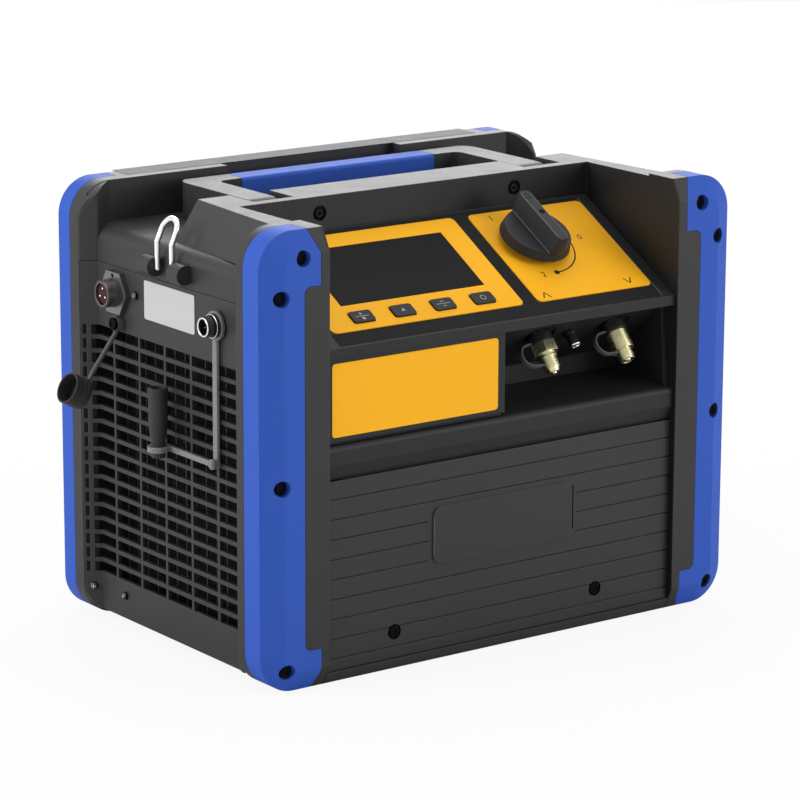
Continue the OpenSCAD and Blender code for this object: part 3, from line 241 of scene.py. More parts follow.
class Value:
    """A node's output that can stand in a Python sum; each operator adds one Math node."""

    def __init__(self, graph, socket):
        self.graph, self.socket = graph, socket

    def _math(self, operation, *terms):
        return self.graph.node("ShaderNodeMath", {"operation": operation}, dict(enumerate(terms)))

    def __add__(self, other):
        return self._math("ADD", self, other)

    def __sub__(self, other):
        return self._math("SUBTRACT", self, other)

    def __rsub__(self, other):
        return self._math("SUBTRACT", other, self)

    def __mul__(self, other):
        return self._math("MULTIPLY", self, other)

    def __truediv__(self, other):
        return self._math("DIVIDE", self, other)

    def __rtruediv__(self, other):
        return self._math("DIVIDE", other, self)

    __radd__, __rmul__ = __add__, __mul__

    def clamped(self):
        return self.graph.node("ShaderNodeClamp", {}, {"Value": self})

    def other(self, name):
        """Another output of the same node."""
        return Value(self.graph, self.socket.node.outputs[name])


class Graph:
    """The emptied nodes of a material or of the world."""

    def __init__(self, owner):
        owner.use_nodes = True
        self.tree = owner.node_tree
        self.tree.nodes.clear()

    def join(self, value, socket):
        """Links a value to a socket, or sets the socket to a number or colour."""
        if isinstance(value, Value):
            self.tree.links.new(value.socket, socket)
        else:
            socket.default_value = value

    def node(self, kind, settings, inputs, out=0):
        """Adds a node: its settings first, then a value or a link for each socket, by name or number.
        Gives the output asked for, or the node itself where that is None."""
        made = self.tree.nodes.new(kind)
        for key, value in settings.items():
            setattr(made, key, value)
        for key, value in inputs.items():
            self.join(value, made.inputs[key])
        return made if out is None else Value(self, made.outputs[out])


class Finish(Graph):
    """One procedural material: a Principled shader and the nodes that feed it."""

    def __init__(self, name, **constants):
        self.material = bpy.data.materials.new(name)
        super().__init__(self.material)
        self.lit = self.node("ShaderNodeBsdfPrincipled", {}, constants)
        self.end = self.node("ShaderNodeOutputMaterial", {}, {"Surface": self.lit}, out=None)
        self.where = self.node("ShaderNodeTexCoord", {}, {}, out="Object")

    def feed(self, **sockets):
        """Links or sets sockets of the shader, underscores standing for spaces."""
        for key, value in sockets.items():
            self.join(value, self.lit.socket.node.inputs[key.replace("_", " ")])

    def noise(self, scale, detail=2.0, rough=0.5, stretch=None):
        """Noise on object coordinates, scale in waves to the metre."""
        where = self.where
        if stretch:
            where = self.node("ShaderNodeMapping", {}, {"Vector": where, "Scale": stretch})
        return self.node("ShaderNodeTexNoise", {},
                         {"Vector": where, "Scale": scale, "Detail": detail, "Roughness": rough})

    def mix(self, factor, first, second):
        """A colour from first to second as factor goes from 0 to 1."""
        return self.node("ShaderNodeMix", {"data_type": "RGBA"}, {0: factor, 6: first, 7: second}, out=2)

    def softened(self, radius):
        """The normal with edges rounded over radius millimetres, and how far it turns there, 0 to 1."""
        soft = self.node("ShaderNodeBevel", {"samples": 4}, {"Radius": radius * MM})
        flat = self.node("ShaderNodeNewGeometry", {}, {}, out="Normal")
        dot = self.node("ShaderNodeVectorMath", {"operation": "DOT_PRODUCT"}, {0: soft, 1: flat}, out="Value")
        return soft, ((1 - dot) * 5).clamped()

    def bumped(self, height, depth, strength=1.0, normal=None):
        """A normal from a height of 0 to 1, depth millimetres deep."""
        inputs = {"Strength": strength, "Distance": depth * MM, "Height": height}
        if normal:
            inputs["Normal"] = normal
        return self.node("ShaderNodeBump", {}, inputs)


def rgba(colour, by=1.0):
    """A colour as four numbers, made lighter or darker by a factor."""
    return tuple(min(1.0, c * by) for c in colour[:3]) + (1.0,)


# Slope of a mask that goes from 0 to 1 within a micrometre
STEP = 1e6


def console_walls_painted_shade(f):
    """Mask of painted shade for the walls round the console: 1 on the wall behind the console and on the two beside
    it, 0 elsewhere: a narrow bell round each plane, kept between the two side walls and between the front face and
    the rear wall."""
    x = f.node("ShaderNodeSeparateXYZ", {}, {"Vector": f.where}, out="X")
    y = x.other("Y")
    behind = y - WALL_Y * MM
    beside = (x * x - (WALL_X * MM) ** 2) / (2 * WALL_X * MM)
    near, steep = (1.1 * MM) ** 2, 1e9
    between = ((0.7 * MM - beside) * STEP).clamped()
    along = ((0.6 * MM - behind) * STEP).clamped() * ((y - FRONT_Y * MM) * STEP).clamped()
    rear = ((near - behind * behind) * steep).clamped()
    sides = ((near - beside * beside) * steep).clamped()
    return rear * between + sides * along


def groove_floors_painted_shade(f):
    """Mask of painted shade in the grooves: 1 inside the grooves of the lower panel, 0 on its face: a step of the
    depth past the face.
    """
    y = f.node("ShaderNodeSeparateXYZ", {}, {"Vector": f.where}, out="Y")
    return (y - (PANEL_Y + 0.2) * MM) * STEP


def moulded(name, colour, rough, grain, depth, wear, edge=0.7, specular=0.5, spread=0.12, darker=None, deep=0.42):
    """Moulded plastic: colour drifting a little, fine grain that also breaks the gloss, edges rubbed paler,
    and painted shade: the places that the darker mask gives in a deeper black."""
    f = Finish(name)
    drift = f.noise(9, 3)
    scuff = f.noise(70, 4, 0.65)
    cells = f.noise(grain, 2)
    soft, turn = f.softened(edge)
    body = f.mix(drift, rgba(colour, 1 - spread), rgba(colour, 1 + spread))
    # Painted shade: a deeper black where the mask gives 1
    if darker:
        body = f.mix(darker(f).clamped(), body, rgba(colour, deep))
    rubbed = f.mix((turn * scuff * wear).clamped(), body, rgba([c * 0.8 + 0.12 for c in colour[:3]]))
    f.feed(Base_Color=rubbed,
           Roughness=(cells - 0.5) * 0.16 + (scuff - 0.5) * 0.12 + rough,
           Specular_IOR_Level=specular,
           Normal=f.bumped(cells, depth, 0.5, soft))
    return f.material


def metal(name, colour, rough, tarnish=0.15):
    """Metal: a fine lay in the gloss, a faint tarnish and bright rubbed edges."""
    f = Finish(name, Metallic=1.0)
    lay = f.noise(500, 3, 0.6)
    stain = f.noise(45, 4, 0.6)
    soft, turn = f.softened(0.4)
    body = f.mix((stain * stain * tarnish * 3).clamped(), rgba(colour), rgba(colour, 0.55))
    f.feed(Base_Color=f.mix((turn * 0.5).clamped(), body, rgba(colour, 1.25)),
           Roughness=((lay - 0.5) * 0.18 + (stain - 0.5) * 0.1 + rough).clamped(),
           Normal=f.bumped(lay, 0.03, 0.35, soft))
    return f.material


def film(name, colour, rough=0.5):
    """Printed film: flat ink under a thin clear layer, with a faint orange peel and a scatter of fine scuffs."""
    f = Finish(name)
    peel = f.noise(260, 2)
    scuff = f.noise(120, 5, 0.7, (1, 0.35, 1))
    drift = f.noise(14, 2)
    soft, turn = f.softened(0.3)
    ink = f.mix(drift, rgba(colour, 0.96), rgba(colour, 1.03))
    f.feed(Base_Color=f.mix((turn * 0.25).clamped(), ink, rgba(colour, 0.7)),
           Roughness=(scuff - 0.5) * 0.14 + rough,
           Specular_IOR_Level=0.12,
           Coat_Weight=(peel * 0.04).clamped(),
           Coat_Roughness=0.3,
           Normal=f.bumped(peel, 0.02, 0.3, soft))
    return f.material


def smoked(name, colour):
    """Smoked window: dark tinted plastic, polished, with a faint haze of fine wipes."""
    f = Finish(name)
    wipes = f.noise(60, 5, 0.7, (0.3, 1, 1))
    soft, _ = f.softened(0.5)
    f.feed(Base_Color=f.mix(wipes, rgba(colour, 0.85), rgba(colour, 1.2)),
           Roughness=(wipes - 0.5) * 0.12 + 0.34,
           Specular_IOR_Level=0.05,
           Normal=f.bumped(wipes, 0.004, 0.2, soft))
    return f.material


def clear_moulding(name, colour):
    """Clear flexible plastic: some light passes through, hazed, with its rounded edges painted paler as a painted
    highlight.
    """
    f = Finish(name, IOR=1.46)
    haze = f.noise(90, 3)
    soft, turn = f.softened(0.6)
    # Painted highlight: the rounded edges are turned paler grey
    f.feed(Base_Color=f.mix((turn * 0.8).clamped(), rgba(colour), (0.7, 0.7, 0.7, 1)),
           Transmission_Weight=0.45,
           Roughness=haze * 0.1 + 0.16,
           Normal=f.bumped(haze, 0.01, 0.2, soft))
    return f.material


def finned(name, colour):
    """Aluminium fins: thin stacked plates as fine bands in height, darker between them, with noise mottling the
    colour and gloss.
    """
    f = Finish(name, Metallic=1.0)
    plates = f.node("ShaderNodeTexWave", {"wave_type": "BANDS", "bands_direction": "Z"},
                    {"Vector": f.where, "Scale": 180.0, "Distortion": 0.3})
    dust = f.noise(35, 4, 0.6)
    f.feed(Base_Color=f.mix((plates * 0.5 + dust * 0.3).clamped(), rgba(colour, 0.35), rgba(colour)),
           Roughness=dust * 0.2 + 0.35,
           Normal=f.bumped(plates, 0.4, 0.5))
    return f.material


def tint(name, description, colour):
    """A colour that the panel shows."""
    return FloatVectorProperty(name=name, description=description, default=colour, size=3,
                               min=0, max=1, subtype="COLOR")


def length(name, description, size, least, most):
    """A length that the panel shows, given in millimetres and kept in metres."""
    return FloatProperty(name=name, description=description, default=size * MM, min=least * MM, max=most * MM,
                         unit="LENGTH", precision=5)


class MachineFinishes(bpy.types.PropertyGroup):
    """Colours of the machine's finishes, linear"""

    housing: tint("Housing", "Black moulded plastic of frames, panels and handle", (0.027, 0.027, 0.028))
    bumper: tint("Bumpers", "Blue of the corner bumpers and the grip", (0.032, 0.096, 0.47))
    overlay: tint("Overlays", "Yellow film on the console and the front plate", (0.98, 0.468, 0.014))
    plate: tint("Side plate", "White film of the plate on the left side", (0.51, 0.51, 0.52))
    brass: tint("Brass", "Machined brass of the hose fittings", (0.72, 0.67, 0.42))
    insert: tint("Insert", "Dark red of the power connector's insert", (0.036, 0.001, 0.0015))
    window: tint("Window", "Smoked display window", (0.008, 0.008, 0.0083))


class MachineSizes(bpy.types.PropertyGroup):
    """Sizes of the small pieces"""

    thread_pitch: length("Thread pitch", "Rise of a flare thread for each turn", 1.27, 0.5, 3)
    thread_depth: length("Thread depth", "Height of a thread from root to crest", 0.45, 0.1, 1)
    print_width: length("Print width", "Width of a printed line on the selector overlay", 1.1, 0.3, 3)
    plate_thickness: length("Plate thickness", "Thickness of the film plates", 0.4, 0.1, 1)
    drive_flats: length("Socket", "Across flats of a screw's hex socket", 4, 2, 6)
    round_steps: IntProperty(name="Round steps", description="Points round a turned piece",
                             default=64, min=24, max=128)


FINISHES = {}


def finish(key):
    """A finish by name, made once from the colours in the panel."""
    if not FINISHES:
        c = bpy.context.scene.machine_finishes
        black = dict(rough=0.46, grain=1500, depth=0.05, wear=0.6, specular=0.28)
        FINISHES.update({
            "black_plastic": moulded("Black moulded housing", c.housing, **black),
            # Painted shade on the walls behind and beside the console
            "upper_black_painted_shade": moulded("Black moulded upper block with painted shade", c.housing, **black, darker=console_walls_painted_shade),
            # Painted shade in the floors of the lower panel's grooves
            "grooved_black_painted_shade": moulded("Black grooved panel with painted groove shade", c.housing, **black, darker=groove_floors_painted_shade, deep=0.06),
            # Painted shade: the console moulding is the housing's black darkened to 0.62
            "console_black_painted_shade": moulded("Black moulded console with painted shade", [v * 0.62 for v in c.housing], 0.48, 1500, 0.05, 0.6,
                                     specular=0.22),
            "blue_bumper": moulded("Blue moulded bumper", c.bumper, 0.58, 1700, 0.03, 0.3,
                                   edge=1.0, specular=0.15, spread=0.05),
            "yellow_overlay": film("Yellow printed film", c.overlay),
            "white_plate": film("White printed film", c.plate, 0.45),
            "dark_ink": film("Dark ink", (0.035, 0.024, 0.012)),
            "pale_ink": film("Pale ink", (0.42, 0.42, 0.42)),
            "display_window": smoked("Smoked window", c.window),
            "key_black": moulded("Key rubber", (0.017, 0.017, 0.018), 0.55, 1800, 0.02, 0.4, edge=0.5, specular=0.25),
            "steel": metal("Plated steel", (0.58, 0.58, 0.60), 0.3),
            # Painted shade: a near-black, faintly blue, for screw heads whose holes read as deep shade, and for
            # painted shadow lines
            "painted_shade_black": moulded("Near-black for screws and painted shade", (0.0016, 0.0022, 0.004), 0.6, 1500, 0.02, 0.06,
                                   edge=0.3, specular=0.05),
            "matt_black": moulded("Matt console field", (0.013, 0.013, 0.0135), 0.7, 1500, 0.04, 0.2, specular=0.1),
            # Painted highlight: a pale grey for thin lines along lit edges
            "pale_edge_highlight": moulded("Pale edge line, painted highlight", (0.11, 0.11, 0.112), 0.5, 1500, 0.02, 0.3),
            "grey_strap": moulded("Grey strap", (0.085, 0.085, 0.087), 0.55, 1500, 0.02, 0.3, specular=0.35),
            "rear_band": moulded("Ribbed rear band", (0.034, 0.034, 0.035), 0.56, 1200, 0.06, 0.2, specular=0.28),
            "black_steel": metal("Blackened steel", (0.055, 0.055, 0.058), 0.42),
            "connector_metal": metal("Satin nickel", (0.20, 0.20, 0.205), 0.36),
            "bright_wire": metal("Polished wire", (0.86, 0.86, 0.87), 0.14, tarnish=0.03),
            "brass": metal("Machined brass", c.brass, 0.29),
            "black_nylon": moulded("Black nylon", (0.011, 0.011, 0.012), 0.42, 1500, 0.03, 0.4),
            "red_insert": moulded("Red insert", c.insert, 0.5, 1600, 0.01, 0.2, edge=0.3, specular=0.2),
            "black_rubber": moulded("Black rubber", (0.022, 0.022, 0.023), 0.62, 2200, 0.03, 0.25, specular=0.35),
            "clear_plastic": clear_moulding("Clear flexible plastic with painted edge highlights", (0.29, 0.29, 0.30)),
            "aluminium": finned("Fin stock", (0.11, 0.11, 0.115)),
            "copper_tube": metal("Drawn copper", (0.24, 0.11, 0.06), 0.4, tarnish=0.3),
            "painted_steel": moulded("Painted steel", (0.05, 0.05, 0.055), 0.4, 900, 0.02, 0.3),
            "circuit_board": moulded("Circuit board", (0.02, 0.11, 0.05), 0.4, 700, 0.02, 0.2, edge=0.2),
        })
    return FINISHES[key]


# Nodes whose finish differs from that of their material slot; the screws take a near-black of painted shade, and the
# upper block, front frame, grooved panel and console take painted shade
OWN_FINISH = {
    "panel_screws": "painted_shade_black", "bumper_screws": "painted_shade_black", "selector_knob": "key_black",
    "key_1": "key_black", "key_2": "key_black", "key_3": "key_black", "key_4": "key_black",
    "top_housing": "upper_black_painted_shade", "front_frame": "upper_black_painted_shade", "lower_front_panel": "grooved_black_painted_shade",
    "control_panel": "console_black_painted_shade", "bay_stud": "black_steel", "power_pins": "bright_wire",
    "dust_cap_strap": "grey_strap", "sensor_connector": "black_steel",
}


class MACHINE_OT_mouldings(bpy.types.Operator):
    """Gives every CAD node its own finish or that of its material slot"""

    bl_idname = "machine.mouldings"
    bl_label = "Frame, panels and inner parts"

    def execute(self, context):
        for name, node in frame["nodes"].items():
            node.data.materials.clear()
            node.data.materials.append(finish(OWN_FINISH.get(name, SLOT_OF[name])))
        return {"FINISHED"}


def ledge_places():
    """Head tops of the two screws in the wall under the ledge."""
    x, y, z = LEDGE_SCREW
    return [facing((s * x, y, z), (0, -1, 0)) for s in (-1, 1)]


def screw_places():
    """Head tops of the screws: the socket screws of bumpers, panels and cap strap, and the small ones on
    the sides."""
    side = 200.0
    bumper_spots = ((30.3, 294), (14, 268.8), (14, 142), (17.3, 15.7))
    dark, small = ledge_places(), []
    for s in (-1, 1):
        for inset, z in bumper_spots:
            dark += [facing((s * (side - inset), f * 128.0, z), (0, f, 0)) for f in (-1, 1)]
        dark.append(facing((s * 87.25 - 4.75, -126.0, 26.5), (0, -1, 0)))
        dark += [facing((s * 130, 126.0, z), (0, 1, 0)) for z in (30, 240)]
        small += [facing((s * 191.6, y, z), (s, 0, 0)) for y, z in ((40, 242), (58.5, 23.7))]
        small.append(facing((s * 196.13, 91.57, 23.7), (s, -1, 0)))
    dark.append(facing((-197.1, 59.8, 219.5), (-1, 0, 0)))
    return dark, small


class MACHINE_OT_screw_drives(bpy.types.Operator):
    """Adds hex sockets to the dark screws, lips to the ledge's two, and the small side screws, each with a raised
    steel cross as a painted glint
    """

    bl_idname = "machine.screw_drives"
    bl_label = "Screw heads"

    def execute(self, context):
        flats = context.scene.machine_sizes.drive_flats / MM

        def socket(r, h, a):
            """Round outside, and the hexagon's radius where the profile asks for it with a negative one:
            half the flats over the cosine of the angle from the nearest flat."""
            return np.where(r < 0, flats / 2 / np.cos((a + np.pi / 6) % (np.pi / 3) - np.pi / 6), r)

        head = turned([(4.2, -0.2), (4.2, 0.15), (3.7, 0.55), (3.0, 0.7), (-1, 0.7), (-1, 0.03)], 48, socket)
        dark, small = screw_places()
        # The sockets in near-black, painted shade of their holes
        make("screw_drives", placed([head], *dark), "housing", finish("painted_shade_black"), 40)
        lip = ring([(1.9, 0.6), (2.3, 0.6), (2.3, 0.85), (1.9, 0.85)], 32)
        make("ledge_screw_lips", placed([lip], *ledge_places()), "housing", finish("black_plastic"))
        dome = turned([(2.7, -0.2), (2.7, 0.1), (2.3, 0.5), (1.5, 0.75), (0.6, 0.85)], 32)
        make("side_screw_heads", placed([dome], *small), "housing", finish("black_steel"), 40)
        # Painted glint: a raised bright steel cross on each small dome
        arm = np.array(((-1.7, 0), (0, 0), (1.7, 0)))
        cross = [ribbon(arm[:, order], 0.6, 0.7, 0.95) for order in ([0, 1], [1, 0])]
        make("side_screw_cross_glints", placed(cross, *small), "housing", finish("steel"))
        return {"FINISHED"}


def thread(low, high, root, depth, pitch, around):
    """A thread: radius = root + depth times a flat-topped triangle wave of height / pitch less the turn,
    over rows of height and columns of angle, closed by an inner wall."""
    rows = max(8, int((high - low) / pitch * 10))
    h = np.linspace(low, high, rows)

    def radius(r, z, a):
        wave = np.abs(((z / pitch - a / (2 * np.pi)) % 1) * 2 - 1)
        fade = np.clip(np.minimum(z - low, high - z) / (0.6 * pitch), 0, 1)
        return np.where(r > root - 0.2, root + depth * fade * np.clip(1.6 * wave - 0.3, 0, 1), r)

    wall = ((root - 0.5, high), (root - 0.5, low))
    profile = np.concatenate((np.column_stack((np.full(rows, root), h)), wall))
    return ring(profile, around, radius)


class MACHINE_OT_threads(bpy.types.Operator):
    """Adds the threads of the hose fittings and the sensor connector"""

    bl_idname = "machine.threads"
    bl_label = "Threads"

    def execute(self, context):
        s = context.scene.machine_sizes
        pitch, depth, n = s.thread_pitch / MM, s.thread_depth / MM, s.round_steps
        for name, x, low in (("inlet_thread", INLET_X, 18.7), ("outlet_thread", OUTLET_X, 21.1)):
            flare = thread(low, low + 7.2, 5.5, depth, pitch, n)
            make(name, placed([flare], port_frame(x)), "housing", finish("brass"), 50)
        barrel = thread(7.2, 20.6, 7.75, 0.35, 0.95, n)
        make("outlet_barrel_thread", placed([barrel], port_frame(OUTLET_X)), "housing", finish("brass"), 50)
        shell = thread(7.2, 11.2, 6.7, 0.35, 0.9, n)
        make("sensor_thread", placed([shell], left_frame(*SENSOR_AT)), "housing",
             finish("black_steel"), 50)
        return {"FINISHED"}


def around_axis(part, radius, angles):
    """Copies of a part set radius out from the axis at each angle."""
    return [(part[0] + (radius * np.cos(t), radius * np.sin(t), 0), part[1]) for t in angles]


class MACHINE_OT_connector_rims(bpy.types.Operator):
    """Adds the rolled rims, the cores and the contacts of the side connectors"""

    bl_idname = "machine.connector_rims"
    bl_label = "Connector rims"

    def execute(self, context):
        n = context.scene.machine_sizes.round_steps
        power, sensor = left_frame(*POWER_AT), left_frame(*SENSOR_AT)
        rims = [bead(9.1, 13.0, 0.5, 0.4, n), bead(9.85, 5.0, 0.3, 0.6, n)]
        make("power_rim", placed(rims, power), "housing", finish("black_steel"))
        face = turned([(7.6, 7.6), (7.6, 11.2), (7.2, 11.6), (5.0, 11.6), (2.5, 11.6)], n)
        make("power_insert_face", placed([face], power), "housing", finish("red_insert"))
        pin = turned([(0.8, 11.4), (0.8, 12.1), (0.55, 12.4), (0.3, 12.5)], 24)
        pins = around_axis(pin, 3.8, np.arange(3) * 2 * np.pi / 3)
        make("power_contacts", placed(pins, power), "housing", finish("bright_wire"))
        rims = [bead(6.1, 12.0, 0.6, 0.5, n), bead(8.0, 5.7, 0.3, 0.3, n)]
        make("sensor_rim", placed(rims, sensor), "housing", finish("bright_wire"))
        core = turned([(5.1, 3.9), (5.1, 6.5), (4.2, 7.2), (3.9, 7.2)], n)
        make("sensor_core", placed([core], sensor), "housing", finish("black_nylon"))
        pin = turned([(0.5, 7.0), (0.5, 9.0), (0.25, 9.4)], 12)
        pins = around_axis(pin, 2.3, np.arange(4) * np.pi / 2 + 0.4)
        make("sensor_pins", placed(pins, sensor), "housing", finish("steel"))
        return {"FINISHED"}


class MACHINE_OT_port_trim(bpy.types.Operator):
    """Adds the tip of the stud between the ports, and the collars, valve cores and straps of the two fittings"""

    bl_idname = "machine.port_trim"
    bl_label = "Port collars and straps"

    def execute(self, context):
        n = context.scene.machine_sizes.round_steps
        inlet, outlet = port_frame(INLET_X), port_frame(OUTLET_X)
        tip = ring([(3.9, 10.6), (4.1, 11.2), (3.6, 11.9), (2.5, 12.0), (2.3, 10.6)], 32)
        make("stud_tip", placed([tip], port_frame(STUD_X)), "housing", finish("bright_wire"))
        thin = [bead(6.6, 18.0, 0.55, 0.5, n), turned([(1.9, 24.0), (1.9, 29.4), (1.5, 30.0), (0.8, 30.2)], 32)]
        wide = [bead(7.75, 20.9, 0.5, 0.5, n), bead(4.7, 28.9, 0.75, 0.5, n),
                turned([(2.6, 24.0), (2.6, 28.6), (2.0, 29.6), (1.0, 30.0)], 32)]
        make("port_collars", placed(thin, inlet) + placed(wide, outlet), "housing", finish("brass"))
        # The strap leaves the nut, bows out in half an oval and comes back to the thread; it is drawn flat
        # in (x, height) and stood up by changing the last two axes over, which turns its faces
        t = np.linspace(0, np.pi, 19)
        bow = np.column_stack((-10.5 - 10.5 * np.sin(t) ** 0.8, 14.0 - 8.4 * np.cos(t)))
        flat, faces = ribbon(np.concatenate(([(-8.5, 5.6)], bow, [(-5.3, 22.4)])), 1.3, -1.7, 1.7)
        strap = flat[:, [0, 2, 1]], flipped(faces)
        make("port_straps", placed([strap], inlet, outlet), "housing", finish("grey_strap"))
        return {"FINISHED"}


def glyph(text, height):
    """A numeral as flat outlines: Blender's own letter shape, made a mesh, with its points about its middle."""
    curve = bpy.data.curves.new("numeral", "FONT")
    curve.body, curve.size, curve.extrude, curve.align_x = text, 1.0, 0.05, "CENTER"
    holder = bpy.data.objects.new("numeral", curve)
    mesh = bpy.data.meshes.new_from_object(holder)
    points = np.empty(len(mesh.vertices) * 3)
    mesh.vertices.foreach_get("co", points)
    points = points.reshape(-1, 3)
    faces = [list(p.vertices) for p in mesh.polygons]
    bpy.data.objects.remove(holder)
    bpy.data.meshes.remove(mesh)
    bpy.data.curves.remove(curve)
    low, high = points.min(0), points.max(0)
    points = (points - (low + high) / 2) * (height / (high - low)[1])
    points[:, 2] = np.sign(points[:, 2]) * 0.05
    return points, faces


class MACHINE_OT_console_print(bpy.types.Operator):
    """Prints the selector's arc, its stops with plain numerals, and the flow marks on the yellow overlay"""

    bl_idname = "machine.console_print"
    bl_label = "Console print"

    def execute(self, context):
        w = context.scene.machine_sizes.print_width / MM
        low, high = 0.72, 0.86
        radius, t = 31.5, np.linspace(0.05, -1.56, 48)
        arc = SELECTOR_AT[:2] + radius * np.column_stack((np.cos(t), np.sin(t)))
        parts = [ribbon(arc, w, low, high), slab(circle(*arc[-1], 2.1), low, high)]
        parts += [ribbon([(100.6, 71), (104.4, 71)], w, low, high)]
        for x, s, way in ((46, 19, 1), (121, 21, -1)):
            a, b, c = np.array(((-3.2, -2.8), (0, 2.8), (3.2, -2.8))) * (1, way) + (x, s)
            chevron = np.concatenate((np.linspace(a, b, 8), np.linspace(b, c, 8)[1:]))
            parts.append(ribbon(chevron, 0.9, low, high))
        for text, x, s in (("0", 112, 71.5), ("1", 54, 103), ("2", 58, 39.5)):
            p, f = glyph(text, 5.2)
            parts.append((p + (x, s, 0.8), f))
        make("console_print", placed(parts, CONSOLE), "housing", finish("dark_ink"))
        return {"FINISHED"}


class MACHINE_OT_fin_pack(bpy.types.Operator):
    """Fills the condenser with its thin fins, five between each two of the thick ones"""

    bl_idname = "machine.fin_pack"
    bl_label = "Condenser fins"

    def execute(self, context):
        pitch = 12.5
        thick = -73 + pitch * np.arange(12)
        middles = (thick[:, None] + pitch * np.arange(1, 6)[None, :] / 6).ravel()
        plate = np.array(rect(-174.6, -145.4, -0.15, 0.15))
        fins = [slab(plate + (0, y), 24.5, 219.5) for y in middles]
        make("condenser_fin_pack", fins, "housing", finish("aluminium"))
        return {"FINISHED"}


class MACHINE_OT_console_field(bpy.types.Operator):
    """Adds the matt field round the two yellow overlays, the console's pale edge line as a painted highlight, and the
    badge pad's painted shadow line and painted highlight line
    """

    bl_idname = "machine.console_field"
    bl_label = "Console field"

    def execute(self, context):
        borders = ((-137.6, 137.6, 1.6, 13.2), (24.3, 36.2, 13.2, 109.3), (-137.6, 137.6, 109.3, 113.6))
        strips = [slab(rect(*border), -0.1, 0.15) for border in borders]
        make("console_field", placed(strips, CONSOLE), "housing", finish("matt_black"))
        # Painted highlight: a pale line along the console's side edge
        side = slab(rect(138.3, 138.8, 2, 112), -0.1, 0.3)
        make("console_edge_highlight", placed([side], CONSOLE), "housing", finish("pale_edge_highlight"))
        front = facing((0, PANEL_Y, 0), (0, -1, 0))
        # Painted shadow: a dark line at the badge pad's right edge
        shade = slab(round_rect(60.3, 62.0, 73.5, 105.5, 0.8, 4), -0.1, 0.1)
        make("badge_painted_shadow", placed([shade], front), "housing", finish("painted_shade_black"))
        # Painted highlight: a pale line along the badge pad's left edge
        z = np.linspace(75, 102.5, 8)
        crest = tube(np.column_stack((-59.8 + 0 * z, z, 1.1 + 0 * z)), 0.35, 8)
        make("badge_painted_highlight", placed([crest], front), "housing", finish("pale_edge_highlight"))
        return {"FINISHED"}


class MACHINE_OT_rear_corners(bpy.types.Operator):
    """Fairs the side flares into the rear frame over the deck, and adds the band on the frame and the panel seal"""

    bl_idname = "machine.rear_corners"
    bl_label = "Rear corners and seals"

    def execute(self, context):
        # Plan of the left fairing: along the flare, round a crown as a quadratic curve, and back to the frame
        t = np.linspace(0, 1, 9)[:, None]
        crown = (1 - t) ** 2 * (-191.5, 88.9) + 2 * t * (1 - t) * (-189.6, 86.9) + t ** 2 * (-185.5, 90.3)
        line = np.concatenate(([(-199.6, 97.0)], crown, np.linspace((-184, 91.3), (-175, 97.6), 5)))
        x, y = line[:, 0], line[:, 1]
        # Its top follows the round corner of the frame; lean carries the top forwards and fall rounds it down
        foot, corner_z, corner_r, reach = 258.5, 285.6, 26, 14.5
        top = corner_z + np.sqrt(np.clip(corner_r ** 2 - np.minimum(x + 174, 0) ** 2, 0, None))
        level, behind = foot + 0 * x, REAR_Y + 0 * x
        parts = []
        for s, lean, fall in ((-1, 1.0, 0.0), (1, 1.6, 10.0)):
            ahead = lean * (REAR_Y - y)
            sink = fall * (ahead / reach) ** 2
            rows = [(y, level), (REAR_Y - ahead, top - sink), (REAR_Y - 0.65 * ahead, top - 0.2 * sink),
                    (behind, top), (behind, level)]
            points = np.stack([np.column_stack((-s * x, q, z)) for q, z in rows], 1).reshape(-1, 3)
            faces = quads(len(x), len(rows)) + end_caps(len(x), len(rows))
            parts.append((points, faces if s < 0 else flipped(faces)))
        make("rear_corner_fairings", parts, "housing", finish("black_plastic"))
        band = slab(round_rect(-153, 153, 107.6, 129, 0.8, 3), 311.9, 312.15, 0.1)
        make("rear_band", [band], "housing", finish("rear_band"))
        seal = slab(rect(-134, 134, -124.2, -122.2), 138.9, 140.6)
        make("panel_seal", [seal], "housing", finish("black_rubber"))
        return {"FINISHED"}


class MACHINE_OT_key_legends(bpy.types.Operator):
    """Prints a plain symbol on each key"""

    bl_idname = "machine.key_legends"
    bl_label = "Key legends"

    def execute(self, context):
        key_top, width = 2.0, 0.5
        low, high = key_top - 0.1, key_top + 0.05

        def bar(half, s):
            """A level line, half to each side of the middle."""
            return ribbon([(-half, s), (0, s), (half, s)], width, low, high)

        start = slab([(-1.0, 1.1), (1.4, 2.3), (-1.0, 3.5)], low, high)
        stop = slab(round_rect(-1.2, 1.2, -3.5, -1.1, 0.2, 3), low, high)
        rise = slab([(-1.7, -1.2), (1.7, -1.2), (0, 1.8)], low, high)
        loop = ribbon(circle(0, 0, 2.0, 40), width, low, high, loop=True)
        sets = [[bar(5.5, 0), start, stop], [rise], [bar(5.5, 0), bar(1.5, 2.3), bar(1.5, -2.3)], [loop]]
        for i, (body, parts) in enumerate(zip(("first_key", "second_key", "third_key", "fourth_key"), sets)):
            at = np.array((-106 + 33.7 * i, 25, 0))
            make(f"key_legend_{i + 1}", placed([(p + at, f) for p, f in parts], CONSOLE), body,
                 finish("pale_ink"))
        return {"FINISHED"}


